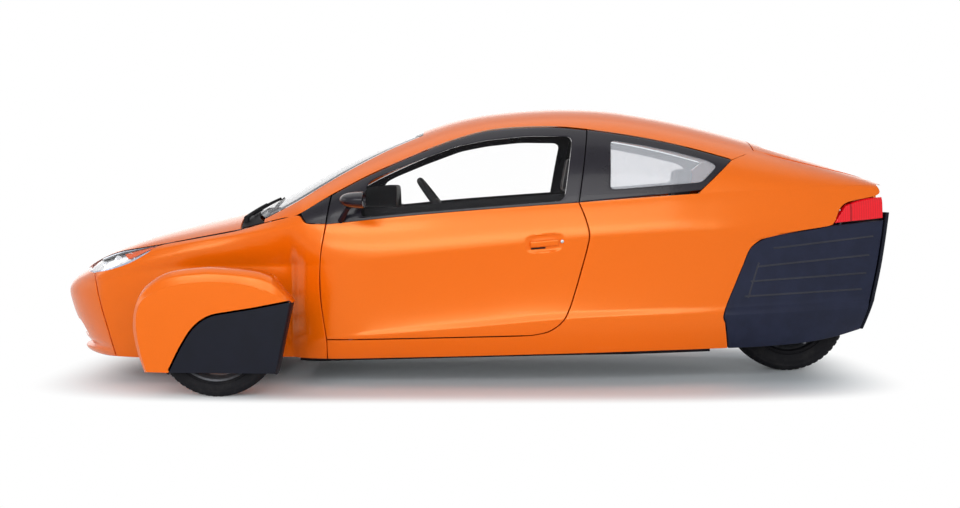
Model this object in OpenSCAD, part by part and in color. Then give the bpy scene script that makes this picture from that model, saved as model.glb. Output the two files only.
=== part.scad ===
// Three-wheeled car: two steered front wheels in outrigger pods, one rear wheel in the tail.
// The nose points along -X, the car's left side is at -Y and the ground is at Z = 0. Millimetres.

/* [Stance] */
// Distance from the front axle to the rear axle
wheelbase = 2810; // [2700:10:3000]
// Distance between the middles of the two front tyres
track = 1440; // [1430:5:1500]
// Widest part of the body, at the door
body_w = 1212; // [1200:2:1240]

/* [Wheels] */
// Outside diameter of a front tyre
front_tyre_d = 560; // [540:2:570]
// Width of a front tyre
front_tyre_w = 128; // [110:2:135]
// Outside diameter of the rear tyre
rear_tyre_d = 612; // [590:2:620]
// Width of the rear tyre
rear_tyre_w = 176; // [160:2:190]
// Diameter of a rim where the tyre's bead sits
rim_d = 394; // [380:2:400]
// Number of spokes in a rim
spoke_count = 5; // [4:1:7]

/* [Walls] */
// Thickness of the door and of the fixed body walls
wall_t = 50; // [40:1:60]
// Thickness of the roof, the pillars, the hood and the hatch
roof_t = 30; // [24:1:36]
// Thickness of the glass
glass_t = 5; // [4:0.5:7]
// Thickness of the floor and the bulkheads
floor_t = 36; // [25:1:45]
// Gap along a shut line between two panels
shut_gap = 6; // [5:0.5:9]
// Gap along a seam between two fixed panels
seam_gap = 0.6; // [0.2:0.1:2]

/* [Front pods] */
// Thickness of a pod's wall
pod_t = 12; // [8:1:16]

/* [Running gear] */
// Diameter of a suspension arm's tube
arm_d = 30; // [24:1:36]
// Diameter of a drive shaft
shaft_d = 30; // [24:1:36]
// Diameter of a wheel's spindle
spindle_d = 30; // [24:1:34]
// Radial clearance of a wheel on its spindle
spindle_play = 0.05; // [0.02:0.01:0.1]
// Width of the rear swing arm, outside its two blades
swing_arm_w = 300; // [290:2:320]

/* [Cabin] */
// Width of the driver's seat
seat_w = 470; // [420:5:520]
// Outside diameter of the steering wheel
steer_d = 370; // [340:5:390]

/* [Hidden] */
$fn = 48;
NOMINAL_WHEELBASE = 2810;
FRONT_AXLE = -1180;
NOMINAL_BODY_W = 1212;
stretch = wheelbase - NOMINAL_WHEELBASE;
wide = body_w / NOMINAL_BODY_W;
half_shut = shut_gap / 2;
half_seam = seam_gap / 2;

front_axle_x = station(FRONT_AXLE);
rear_axle_x = front_axle_x + wheelbase;
front_axle_z = front_tyre_d / 2;
rear_axle_z = rear_tyre_d / 2;
wheel_y = track / 2;
king_y = wheel_y - 34;

// A wheelbase change is spread evenly between the axles, so mid length stays where it is
function station(x) = x + stretch * (max(0, min(1, (x - FRONT_AXLE) / NOMINAL_WHEELBASE)) - 0.5);
function stations(points) = [for (p = points) concat([station(p[0])], [for (i = [1:len(p) - 1]) p[i]])];

// Guide rails of the body's left half, columns: station x, height z, half width y
BOTTOM_RAIL = stations([
    [-2012, 300, 20], [-1968, 180, 200], [-1882, 140, 338], [-1780, 128, 385], [-1650, 120, 405],
    [-1200, 125, 408], [-900, 128, 415], [-850, 129, 445], [-800, 130, 470], [-700, 134, 500],
    [-550, 138, 515], [405, 161, 522], [1182, 173, 432], [1600, 188, 352], [1920, 250, 290]]);
LOW_RAIL = stations([
    [-2012, 400, 20], [-1968, 300, 208], [-1882, 250, 365], [-1780, 250, 405], [-1450, 250, 430],
    [-1000, 250, 430], [-900, 250, 440], [-850, 251, 476], [-800, 251, 508], [-700, 252, 545],
    [-550, 255, 566], [0, 300, 585], [445, 337, 578], [1196, 358, 482], [1900, 400, 345]]);
MID_RAIL = stations([
    [-2012, 480, 20], [-1968, 482, 212], [-1882, 490, 356], [-1780, 520, 408], [-1650, 548, 432],
    [-1450, 574, 437], [-1000, 585, 438], [-900, 586, 446], [-850, 587, 486], [-800, 588, 522],
    [-700, 598, 558], [-550, 614, 580], [-259, 644, 600], [91, 679, 606], [527, 722, 590],
    [1137, 754, 503], [1466, 776, 440], [2000, 800, 345]]);
BELT_RAIL = stations([
    [-2012, 532, 10], [-1968, 541, 200], [-1882, 552, 338], [-1780, 594, 395], [-1650, 635, 425],
    [-1450, 680, 440], [-1200, 725, 452], [-1000, 755, 482], [-800, 781, 527], [-450, 812, 556],
    [-136, 842, 570], [200, 868, 570], [485, 888, 560], [900, 918, 508], [1142, 935, 463],
    [1500, 952, 403], [1750, 960, 360], [1900, 964, 334], [2030, 958, 312]]);
// Crown of the body on its centre plane, columns: station x, height z
CROWN = stations([
    [-2012, 540], [-1968, 563], [-1882, 607], [-1780, 651], [-1600, 716], [-1400, 770], [-1200, 818],
    [-1110, 842], [-930, 938], [-670, 1079], [-500, 1157], [-270, 1247], [-95, 1302], [100, 1337],
    [390, 1358], [660, 1350], [900, 1314], [1120, 1268], [1385, 1199], [1600, 1132], [1810, 1064],
    [1930, 1022], [2000, 994], [2030, 980]]);
// Shape of the upper body's cross section, columns: station x, lean at the belt, squareness
DOME = stations([[-2012, 0.35, 5], [-1800, 0.4, 5], [-1600, 0.68, 3.3], [-1400, 0.85, 2.5], [-1200, 0.9,
    2.3], [-1000, 0.5, 2.3], [-800, 0.14, 2.45],
    [1000, 0.12, 2.45], [1500, 0.3, 2.3], [1800, 0.4, 2.5], [2000, 0.5, 3.2]]);
// Swell of the side between two rails, columns: station x, swell between low and mid, between mid and belt
SWELL = stations([[-1990, 4, 8], [-1000, 6, 12], [-800, 4, 12], [-640, 0, 10], [-480, -17, 8],
    [100, -22, 8], [600, -16, 8], [1200, -6, 8], [2000, 0, 6]]);
SILL_SWELL = 6;

function row_at(table, x, i = 0) = i >= len(table) - 2 || x < table[i + 1][0] ? i : row_at(table, x, i + 1);
function slope_at(table, c, i) =
    let (a = max(i - 1, 0), b = min(i + 1, len(table) - 1))
    (table[b][c] - table[a][c]) / (table[b][0] - table[a][0]);
// Smooth value of column c of a table at station x
function rail(table, c, x) =
    let (i = row_at(table, x), a = table[i], b = table[i + 1], w = b[0] - a[0])
    x <= table[0][0] ? table[0][c] + slope_at(table, c, 0) * (x - table[0][0]) :
    x >= table[len(table) - 1][0] ? b[c] + slope_at(table, c, i + 1) * (x - b[0]) :
    let (t = (x - a[0]) / w, m0 = slope_at(table, c, i) * w, m1 = slope_at(table, c, i + 1) * w)
    a[c] * (1 + 2 * t) * (1 - t) * (1 - t) + m0 * t * (1 - t) * (1 - t)
    + b[c] * t * t * (3 - 2 * t) + m1 * t * t * (t - 1);

function rail_z(table, x) = rail(table, 1, x);
function rail_y(table, x) = rail(table, 2, x) * wide;
function strip(z, z0, y0, z1, y1, swell) =
    let (t = (z - z0) / (z1 - z0)) y0 + (y1 - y0) * t + 4 * swell * t * (1 - t);

// Half width of the dome at a share v of its height, and the share at a half width q of 0 to 1
function dome_q(v, lean, square) = pow(max(0, 1 - lean * v - (1 - lean) * v * v), 1 / square);
function dome_v(q, lean, square) =
    let (left = 1 - pow(q, square))
    (-lean + sqrt(lean * lean + 4 * (1 - lean) * left)) / (2 * (1 - lean));

// Half width of the body's outside at station x and height z
function side_y(x, z) =
    let (z0 = rail_z(BOTTOM_RAIL, x), z1 = rail_z(LOW_RAIL, x), z2 = rail_z(MID_RAIL, x),
        z3 = rail_z(BELT_RAIL, x))
    z < z1 ? strip(z, z0, rail_y(BOTTOM_RAIL, x), z1, rail_y(LOW_RAIL, x), SILL_SWELL) :
    z < z2 ? strip(z, z1, rail_y(LOW_RAIL, x), z2, rail_y(MID_RAIL, x), rail(SWELL, 1, x)) :
    z < z3 ? strip(z, z2, rail_y(MID_RAIL, x), z3, rail_y(BELT_RAIL, x), rail(SWELL, 2, x)) :
    rail_y(BELT_RAIL, x) * dome_q((z - z3) / (rail(CROWN, 1, x) - z3), rail(DOME, 1, x), rail(DOME, 2, x));
function side_point(p, depth) = [p[0], -(side_y(p[0], p[1]) - depth), p[1]];

// Point of the upper body at station x and sweep angle a, from -90 at the left belt to 90 at the right one
function dome_flat(x, a) =
    let (z3 = rail_z(BELT_RAIL, x), v = dome_v(abs(sin(a)), rail(DOME, 1, x), rail(DOME, 2, x)))
    [rail_y(BELT_RAIL, x) * sin(a), z3 + (rail(CROWN, 1, x) - z3) * v];
// Point p = [station, sweep angle, slant of the wall] of the upper body, a depth below its outside
function dome_point(p, depth) =
    let (q = dome_flat(p[0], p[1])) [p[0], q[0] - depth * sin(p[2]), q[1] - depth * cos(p[2])];
// Sweep angle of the left half at station x and height z
function sweep_at(x, z) =
    let (z3 = rail_z(BELT_RAIL, x), v = (z - z3) / (rail(CROWN, 1, x) - z3))
    -asin(min(1, dome_q(v, rail(DOME, 1, x), rail(DOME, 2, x))));

// Point at share t of a smooth curve through points, evenly by point number
function spline_at(points, t) =
    let (n = len(points) - 1, s = t * n, i = max(min(floor(s), n - 1), 0), f = s - i,
        b = points[i], c = points[i + 1], a = i > 0 ? points[i - 1] : 2 * b - c, d = i < n - 1
        ? points[i + 2] : 2 * c - b)
    b + f * ((c - a) / 2 + f * ((2 * a - 5 * b + 4 * c - d) / 2 + f * (3 * b - a - 3 * c + d) / 2));
// Point of a patch between four edge curves at shares u and v
function coons(e, u, v) =
    let (bottom = e[0], top = e[1], left = e[2], right = e[3])
    (1 - v) * spline_at(bottom, u) + v * spline_at(top, u) + (1 - u) * spline_at(left, v)
        + u * spline_at(right, v)
    - (1 - u) * (1 - v) * bottom[0] - u * (1 - v) * bottom[len(bottom) - 1]
    - (1 - u) * v * top[0] - u * v * top[len(top) - 1];
function shares(n, trim) = [for (i = [0:n]) trim + (1 - 2 * trim) * i / n];

// Closed solid between two grids of points, the outer one first
module slab(outer, inner) {
    m = len(outer);
    n = len(outer[0]);
    function id(i, j, k) = (k * m + i) * n + j;
    skin = [for (i = [0:m - 2], j = [0:n - 2], k = [0, 1]) each k == 0
        ? [[id(i, j, k), id(i + 1, j + 1, k), id(i + 1, j, k)], [id(i, j, k), id(i, j + 1, k),
            id(i + 1, j + 1, k)]]
        : [[id(i, j, k), id(i + 1, j, k), id(i + 1, j + 1, k)], [id(i, j, k), id(i + 1, j + 1, k),
            id(i, j + 1, k)]]];
    rim = concat([for (i = [0:m - 2]) [i, 0, i + 1, 0]], [for (j = [0:n - 2]) [m - 1, j, m - 1, j + 1]],
        [for (i = [m - 1:-1:1]) [i, n - 1, i - 1, n - 1]], [for (j = [n - 1:-1:1]) [0, j, 0, j - 1]]);
    edge = [for (r = rim) each [
        [id(r[0], r[1], 0), id(r[2], r[3], 0), id(r[2], r[3], 1)],
        [id(r[0], r[1], 0), id(r[2], r[3], 1), id(r[0], r[1], 1)]]];
    polyhedron([for (g = [outer, inner]) for (line = g) each line], concat(skin, edge));
}

// Unit normals of a curve's points, turned to its left for turn = 1 and to its right for turn = -1
function normals(c, turn) = [for (i = [0:len(c) - 1])
    let (d = c[min(i + 1, len(c) - 1)] - c[max(i - 1, 0)]) turn * [-d[1], d[0]] / norm(d)];
// Corner p moved so that it lies d1 and d2 inside two edges with normals n1 and n2
function moved_corner(p, n1, d1, n2, d2) =
    let (det = n1[0] * n2[1] - n1[1] * n2[0])
    abs(det) < 0.3 ? p + (n1 * d1 + n2 * d2) / 2
    : p + [d1 * n2[1] - d2 * n1[1], n1[0] * d2 - n2[0] * d1] / det;
// Edge curves moved in by trim, columns: left, right, bottom, top
function trimmed(e, trim) =
    let (n = [normals(e[0], 1), normals(e[1], -1), normals(e[2], -1), normals(e[3], 1)],
        d = [trim[2], trim[3], trim[0], trim[1]], last = [for (c = e) len(c) - 1],
        p00 = moved_corner(e[0][0], n[0][0], d[0], n[2][0], d[2]),
        p10 = moved_corner(e[0][last[0]], n[0][last[0]], d[0], n[3][0], d[3]),
        p01 = moved_corner(e[1][0], n[1][0], d[1], n[2][last[2]], d[2]),
        p11 = moved_corner(e[1][last[1]], n[1][last[1]], d[1], n[3][last[3]], d[3]),
        ends = [[p00, p10], [p01, p11], [p00, p01], [p10, p11]])
    [for (k = [0:3]) [for (i = [0:last[k]]) i == 0 ? ends[k][0] : i == last[k] ? ends[k][1] : e[k][i]
        + d[k] * n[k][i]]]; 
// Panel of the left side inside four edge curves of [x, z] points: bottom, top, left, right.
// It stops short of each edge by trim, columns: left, right, bottom, top
module side_panel(edges, thick, nu, nv, sunk = 0, trim = [1, 1, 1, 1] * half_seam) {
    e = trimmed(edges, trim);
    flat = [for (i = [0:nu]) [for (j = [0:nv]) coons(e, i / nu, j / nv)]];
    slab([for (line = flat) [for (p = line) side_point(p, sunk)]],
        [for (line = flat) [for (p = line) side_point(p, sunk + thick)]]);
}

// Panel of the upper body from station x0 to x1, its ends bowed back at the sides, down to an edge height
// A lid whose front edge lies on another panel thins out over the length taper, and rake undercuts its
// rear edge
module top_panel(x0, x1, bow0, bow1, edge, thick, nu, nv, sunk = 0, trim = half_seam, taper = 0, span = 1,
    rake = 0) {
    grid = [for (i = [0:nu])
        let (t = i / nu, x = x0 + (x1 - x0) * t, bow = bow0 + (bow1 - bow0) * t,
            a = sweep_at(x + bow, edge(x + bow) + trim))
        [for (j = [0:nv]) let (s = span * (1 - 2 * j / nv)) [x + bow * s * s, a * s, -90 * s]]];
    slab([for (line = grid) [for (p = line) dome_point(p, sunk)]],
        [for (i = [0:nu]) let (t = taper > 0 ? min(1, 0.2 + (x1 - x0) * i / nu / taper) : 1)
            [for (p = grid[i]) dome_point(p, sunk + thick * t) - [i == nu ? rake : 0, 0, 0]]]);
}

// Solid through closed rings of points, with flat ends
module loft(rings) {
    m = len(rings);
    n = len(rings[0]);
    side = [for (i = [0:m - 2], j = [0:n - 1]) let (k = (j + 1) % n) each [
        [i * n + j, (i + 1) * n + k, (i + 1) * n + j], [i * n + j, i * n + k, (i + 1) * n + k]]];
    ends = concat([for (j = [1:n - 2]) [0, j + 1, j]], [for (j = [1:n - 2]) [(m - 1) * n, (m - 1) * n + j,
        (m - 1) * n + j + 1]]);
    polyhedron([for (r = rings) each r], concat(side, ends));
}

// Outline with its corners rounded by radius r
function rounded(points, r, steps = 4) = [for (i = [0:len(points) - 1])
    let (n = len(points), p = points[i], a = points[(i + n - 1) % n] - p, b = points[(i + 1) % n] - p,
        ra = min(r, norm(a) * 0.45), rb = min(r, norm(b) * 0.45), q = p + a / norm(a) * ra, s = p
        + b / norm(b) * rb)
    for (k = [0:steps]) let (t = k / steps) (1 - t) * (1 - t) * q + 2 * t * (1 - t) * p + t * t * s];

// Prism of an outline of [x, z] points, across the left half of the car
module left_prism(outline) {
    rotate([90, 0, 0]) linear_extrude(height = 900) polygon(outline);
}

module both_sides() {
    children();
    mirror([0, 1, 0]) children();
}

// Shut lines and edges of the left side, columns: station x, height z
NOSE_SEAM = stations([[-1771, 128], [-1800, 250], [-1850, 420], [-1882, 538]]);
FENDER_TOP = stations([[-1882, 538], [-1780, 558], [-1680, 592], [-1600, 636], [-1540, 674], [-1350, 710],
    [-1170, 744], [-1030, 782], [-930, 806], [-850, 822], [-806, 786], [-711, 784]]);
FENDER_BOTTOM = stations([[-1771, 128], [-1480, 121], [-1200, 125], [-950, 128], [-715, 133]]);
FENDER_REAR = stations([[-715, 133], [-713, 232], [-740, 446], [-736, 624], [-711, 784]]);
DOOR_FRONT = stations([[-713, 232], [-737, 410], [-740, 600], [-711, 784]]);
DOOR_REAR = stations([[269, 256], [350, 276], [412, 322], [447, 384], [478, 480], [508, 590], [530, 680],
    [537, 740],
    [520, 812], [490, 888]]);
DOOR_BOTTOM = stations([[-713, 232], [-380, 240], [-60, 248], [269, 256]]);
DOOR_BELT = stations([[-711, 784], [-300, 827], [100, 860], [490, 888]]);
SILL_BOTTOM = stations([[-715, 133], [-200, 146], [300, 159], [800, 168], [1236, 174]]);
SILL_TOP = stations([[-713, 232], [-380, 240], [-60, 248], [269, 256], [585, 272], [900, 286],
    [1212, 300]]);
CLAD_FRONT = stations([[1236, 174], [1212, 300], [1202, 352], [1262, 505], [1294, 582], [1336, 672],
    [1430, 727]]);
QUARTER_BOTTOM = stations([[269, 256], [600, 272], [900, 286], [1212, 300]]);
QUARTER_REAR = stations([[1212, 300], [1202, 352], [1262, 505], [1294, 582], [1336, 672], [1430, 727],
    [1540, 742],
    [1650, 757], [1735, 771], [1760, 792], [1812, 878], [1985, 920], [1990, 972]]);
QUARTER_BELT = stations([[490, 888], [900, 918], [1300, 943], [1700, 961], [1990, 972]]);
DAYLIGHT_TOP = stations([[-840, 837], [-690, 922], [-531, 1008], [-291, 1116], [-77, 1197], [93, 1239],
    [361, 1252],
    [541, 1238], [837, 1193], [1052, 1146], [1250, 1093]]);
SCREEN_EDGE = stations([[-1029, 807], [-858, 896], [-622, 1042], [-440, 1140], [-255, 1222]]);
HEADER_X = station(-262);
HATCH_X = station(1385);
TAIL_X = station(1985);

function on_curve(curve, x) = rail(curve, 1, x);
// Height of the roof panel's lower edge, over the windows and on to the hatch's corner
function roof_edge(x) = x < station(1250) ? on_curve(DAYLIGHT_TOP, x)
    : rail(stations([[1250, 1093], [1385, 1141]]), 1, x);
HATCH_SHARE = 0.66;
function hatch_edge(x) =
    let (z3 = rail_z(BELT_RAIL, x)) z3 + (rail(CROWN, 1, x) - z3) * dome_v(HATCH_SHARE, rail(DOME, 1, x),
        rail(DOME, 2, x));
function hood_edge(x) = on_curve(HOOD_SEAM, x);
HOOD_SEAM = stations([[-1967, 549], [-1900, 590], [-1830, 620], [-1743, 646], [-1640, 664], [-1540, 681],
    [-1350, 717],
    [-1170, 751], [-1060, 777]]);
HOOD_REAR_X = station(-1168);
HOOD_BOW = 24;
COWL_BOW = 78;
SCREEN_X = station(-1105);
PAINT = "#f47a1c";
BLACK = "#25262e";

// Outlines of the windows, columns: station x, height z
DOOR_WINDOW = rounded(stations([[-519, 980], [-458, 1013], [-280, 1086], [-87, 1157], [60, 1186],
    [250, 1206], [467, 1204], [420, 897], [0, 864], [-300, 839], [-548, 815]]), 36);
QUARTER_WINDOW = rounded(stations([[650, 1186], [800, 1163], [960, 1131], [1122, 1090], [1172, 1064],
    [1090, 984], [870, 966],
    [640, 948]]), 24);
SAIL_EDGES = [stations([[-806, 788], [-711, 786]]), stations([[-836, 838], [-764, 880], [-692, 921]]),
    stations([[-806, 788], [-836, 838]]), stations([[-711, 786], [-692, 921]])];
DOOR_FRAME_EDGES = [DOOR_BELT, stations([[-690, 922], [-531, 1008], [-291, 1116], [-77, 1197], [93, 1239],
    [361, 1252],
    [541, 1238]]), stations([[-711, 784], [-690, 922]]), stations([[490, 888], [541, 1238]])];
QUARTER_FRAME_EDGES = [stations([[490, 888], [690, 906], [880, 924], [1087, 947]]),
    stations([[541, 1238], [837, 1193], [1052, 1146], [1250, 1093]]),
    stations([[490, 888], [541, 1238]]), stations([[1087, 947], [1168, 1020], [1250, 1093]])];

// Profile of the nose on the centre plane, columns: height z, station x
NOSE_TIP = [[115, -1968], [120, -1998], [130, -2022], [142, -2034], [152, -2032], [160, -2012],
    [168, -1999],
    [200, -2027], [240, -2050], [280, -2069], [320, -2086], [363, -2100], [420, -2114], [450, -2110],
    [475, -2095], [500, -2068], [520, -2036],
    [538, -2004]];
NOSE_BY_HEIGHT = [for (p = NOSE_TIP) [p[0], station(p[1])]];
SEAM_BY_HEIGHT = [for (p = NOSE_SEAM) [p[1], p[0]]];
NOSE_BLUNT = 2.2;
// The lip's lower edge rises by this much towards the sides
LIP_RISE = 13;
// Point of the nose at share s of its half width, from -1 at the left seam to 1 at the right one
function nose_point(s, z, depth) =
    let (tip = rail(NOSE_BY_HEIGHT, 1, z), b = s * s, zs = z + LIP_RISE * b * b * max(0, (200 - z) / 85),
        seam = rail(SEAM_BY_HEIGHT, 1, zs), y = side_y(seam, zs) * s)
    [tip + (seam - tip) * pow(abs(s), NOSE_BLUNT) + depth * (1 - b * b * b), y - depth * 0.9 * s * abs(s),
        zs];
module nose_panel(heights, span, steps, depth, thick) {
    grid = [for (i = [0:steps]) [for (z = heights) [span * (1 - 2 * i / steps), z]]];
    slab([for (line = grid) [for (p = line) nose_point(p[0], p[1], depth)]],
        [for (line = grid) [for (p = line) nose_point(p[0], p[1], depth + thick)]]);
}
INTAKE = [[-250 * wide, 212], [250 * wide, 212], [215 * wide, 290], [-215 * wide, 290]];
SLOT_W = 410 * wide;

module nose_bumper() color(PAINT) difference() {
    nose_panel([for (p = NOSE_TIP) min(p[0], 535)], 0.992, 16, 0, wall_t);
    translate([station(-2200), 0, 0]) rotate([90, 0, 90])
        linear_extrude(height = 400) polygon(rounded(INTAKE, 26));
}

module intake_grille() color(BLACK) difference() {
    nose_panel([200, 240, 280, 304], 0.744, 12, wall_t + 0.8, 8);
    for (i = [0:2]) translate([station(-2200), -SLOT_W / 2, 220 + i * 24]) cube([500, SLOT_W, 16]);
}

LAMP_EDGES = [
    stations([[-1967, 541], [-1882, 537.5], [-1780, 556], [-1680, 590.5], [-1600, 637], [-1550, 671]]),
    stations([[-1967, 549], [-1900, 589], [-1830, 616], [-1743, 642], [-1640, 660], [-1550, 678]]),
    stations([[-1967, 541], [-1967, 549]]), stations([[-1550, 671], [-1550, 678]])];
// Grid of a headlamp at a depth, its height drawn in to a share of the lamp's
function lamp_grid(depth, share) = [for (i = [0:12]) let (u = 0.02 + 0.96 * i / 12, low = coons(LAMP_EDGES,
    u, 0)) [for (j = [0:5])
    let (p = side_point(coons(LAMP_EDGES, u, j / 5), depth)) [p[0], p[1], low[1]
        + (p[2] - low[1]) * share]]]; 
module headlamp_lenses() color("#dfe6ea") both_sides() slab(lamp_grid(1, 1), lamp_grid(1 + glass_t, 1));
 module headlamp_bowls() color("#3a3c42") both_sides() slab(lamp_grid(1.3 + glass_t, 0.96),
     lamp_grid(wall_t, 0.4)); 
ARM_OPENING = [[-140, 118], [140, 118], [140, 450], [-140, 450]];
module fenders() color(PAINT) both_sides() difference() {
    side_panel([FENDER_BOTTOM, FENDER_TOP, NOSE_SEAM, FENDER_REAR], wall_t, 22, 12,
        trim = [half_seam, half_shut, 0, half_shut]);
    left_prism(rounded([for (p = ARM_OPENING) [front_axle_x + p[0], p[1] + 22]], 40));
}

module hood() color(PAINT)
    top_panel(station(-2004), HOOD_REAR_X, 36, HOOD_BOW, function(x) hood_edge(x), roof_t, 20, 12, 0,
        half_shut, 90);

module cowl_panel() color(BLACK)
    top_panel(HOOD_REAR_X + shut_gap, SCREEN_X, HOOD_BOW, COWL_BOW, function(x) hood_edge(x), roof_t, 4,
        12, 0, half_shut);

module windshield() color("#8fa3ad")
    top_panel(SCREEN_X + seam_gap, HEADER_X - seam_gap, COWL_BOW, 0, function(x) on_curve(SCREEN_EDGE, x),
        glass_t, 12, 12, 2, 1.6); 
// The roof stays clear of the opening door
roof_trim = half_shut + 1.6;
module roof() color(PAINT)
    top_panel(HEADER_X, HATCH_X - shut_gap, 0, 0, function(x) roof_edge(x), roof_t, 18, 12, 0, roof_trim);

module windshield_pillars() color(PAINT) both_sides() side_panel([
    stations([[-1026, 786], [-935, 808], [-846, 829], [-690, 922], [-531, 1008], [-400, 1069],
    [-268, 1125]]),
    stations([[-1028, 806], [-858, 896], [-740, 971], [-622, 1042], [-440, 1140], [-268, 1216]]),
    stations([[-1026, 786], [-1028, 806]]), stations([[-268, 1125], [-268, 1216]])], roof_t, 12, 3,
    trim = [2, 0, half_shut, half_seam]);

module quarter_panels() color(PAINT) both_sides()
    side_panel([QUARTER_BOTTOM, QUARTER_BELT, DOOR_REAR, QUARTER_REAR], wall_t, 14, 18,
        trim = [half_shut, half_seam, half_seam, half_seam]); 
module sills() color(PAINT) both_sides()
    side_panel([SILL_BOTTOM, SILL_TOP, stations([[-715, 133], [-713, 232]]),
        stations([[1236, 174], [1212, 300]])],
        wall_t, 16, 3, trim = [0, half_seam, 0, half_shut]);

module rear_pillars() color(PAINT) both_sides() side_panel([
    shifted(stations([[1072, 929], [1300, 943], [1700, 961], [1990, 972], [2018, 970]]), 1),
    concat(stations([[1250, 1093], [1320, 1118], [1385, 1141]]),
    [for (x = [1490:131:2014]) [station(x), hatch_edge(station(x))]]),
    stations([[1072, 929], [1087, 947], [1168, 1020], [1250, 1093]]),
    [stations([[2018, 971]])[0], [station(2014), hatch_edge(station(2014))]]], roof_t, 16, 5,
    trim = [half_seam, 0, half_seam, 1.4]); 
module side_panel_right() color(PAINT) mirror([0, 1, 0])
    side_panel([DOOR_BOTTOM, DOOR_BELT, DOOR_FRONT, DOOR_REAR], wall_t, 14, 18, trim = [0.2, -0.6, -1,
        0.3]);

FRAME_TRIM = [half_shut, half_shut, 0, half_shut];
FIXED_TRIM = [1, 1, 0, 1] * (seam_gap - half_shut);
QUARTER_TRIM = [half_shut, half_seam, half_seam, half_seam];
module window_panel(edges, holes, nu, nv, trim) difference() {
    side_panel(edges, roof_t, nu, nv, trim = trim);
    for (h = holes) left_prism(h);
}
module window_glass(edges, hole, nu, nv, trim) intersection() {
    side_panel(edges, glass_t, nu, nv, 6, trim);
    left_prism(hole);
}

module window_surrounds() color(BLACK) {
    both_sides() {
        window_panel(SAIL_EDGES, [], 3, 3, [half_seam, half_shut, 0, half_shut - 2.4]);
        window_panel(QUARTER_FRAME_EDGES, [QUARTER_WINDOW], 8, 5, QUARTER_TRIM);
    }
    mirror([0, 1, 0]) window_panel(DOOR_FRAME_EDGES, [DOOR_WINDOW], 14, 5, FIXED_TRIM);
}

module side_glass() color("#8fa3ad") {
    both_sides() window_glass(QUARTER_FRAME_EDGES, QUARTER_WINDOW, 8, 5, QUARTER_TRIM);
    mirror([0, 1, 0]) window_glass(DOOR_FRAME_EDGES, DOOR_WINDOW, 14, 5, FIXED_TRIM);
}

module door_shell() color(PAINT)
    side_panel([DOOR_BOTTOM, DOOR_BELT, DOOR_FRONT, DOOR_REAR], wall_t, 14, 18,
        trim = [1, 1, 1, 0] * half_shut);
module door_window_frame() color(BLACK) window_panel(DOOR_FRAME_EDGES, [DOOR_WINDOW], 14, 5, FRAME_TRIM);
module door_glass() color("#8fa3ad") window_glass(DOOR_FRAME_EDGES, DOOR_WINDOW, 14, 5, FRAME_TRIM);
module door_handle() color(PAINT) side_panel([stations([[262, 664], [392, 672]]),
    stations([[258, 712], [388, 724]]),
    stations([[262, 664], [258, 712]]), stations([[392, 672], [388, 724]])], 8.5, 4, 2, -8,
    trim = [0, 0, 0, 0]); 
LAMP_BOTTOM = [[1756, 783], [1840, 791], [1930, 799], [2010, 807]];
TAIL_LAMP_EDGES = [stations(LAMP_BOTTOM), stations([[1816, 872], [1880, 895], [1940, 908], [2010, 914]]),
    stations([[1756, 783], [1816, 872]]), stations([[2010, 807], [2010, 914]])];
module tail_lamps() color("#d0122b") both_sides() side_panel(TAIL_LAMP_EDGES, wall_t, 8, 4, trim = [1.2,
    0, 0, 2]);

CLAD_EDGES = [stations([[1236, 174], [1430, 178], [1620, 189], [1790, 214], [1926, 250]]),
    stations([[1430, 728], [1540, 742], [1650, 757], [1752, 775], [2020, 800]]),
    CLAD_FRONT, stations([[1926, 250], [1962, 400], [1992, 560], [2010, 700], [2020, 800]])];
module rear_claddings() color(BLACK) both_sides() side_panel(CLAD_EDGES, wall_t, 14, 14, trim = [3.4, 0,
    0, 4]);

// Back of the tail, columns: height z, station x on the centre plane
TAIL_BACK = [[250, 1962], [400, 1996], [560, 2022], [700, 2038], [790, 2045], [836, 2045]];
TAIL_SIDE = [[250, 1926], [400, 1962], [560, 1992], [700, 2010], [800, 2020], [836, 2024]];
function valance_point(s, z, d) =
    let (back = station(rail(TAIL_BACK, 1, z)), side = station(rail(TAIL_SIDE, 1, z)),
        half = side_y(side, min(z, 800)))
    [back - (back - side - 17) * pow(s, 4) - d * (1 - 0.57 * pow(s, 4)), half * s * (1 - d / 900), z];
module rear_valance() color(BLACK) {
    grid = [for (i = [0:12]) [for (z = [250, 330, 400, 480, 560, 630, 700, 790, 836]) [i / 6 - 1, z]]];
    slab([for (line = grid) [for (p = line) valance_point(p[0], p[1], 0)]],
        [for (line = grid) [for (p = line) valance_point(p[0], p[1], 30)]]);
}

// Window of the hatch from above, columns: station x, y
HATCH_WINDOW = stations([[1440, -190 * wide], [1790, -150 * wide], [1790, 150 * wide], [1440, 190 * wide]]);
module hatch_opening() translate([0, 0, 900]) linear_extrude(height = 500) polygon(rounded(HATCH_WINDOW,
    40));
HATCH_END_X = station(2022);
HATCH_TRIM = shut_gap - 1.4;
LIP_RAKE = 22;
module hatch_frame() color(PAINT) difference() {
    top_panel(HATCH_X, HATCH_END_X, 0, -6, function(x) hatch_edge(x), roof_t, 12, 10, 0, HATCH_TRIM, 0, 1,
        LIP_RAKE);
    hatch_opening();
}
module hatch_glass() color("#8fa3ad") intersection() {
    top_panel(HATCH_X, HATCH_END_X, 0, -6, function(x) hatch_edge(x), glass_t, 12, 10, 6, HATCH_TRIM);
    hatch_opening();
}

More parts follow.
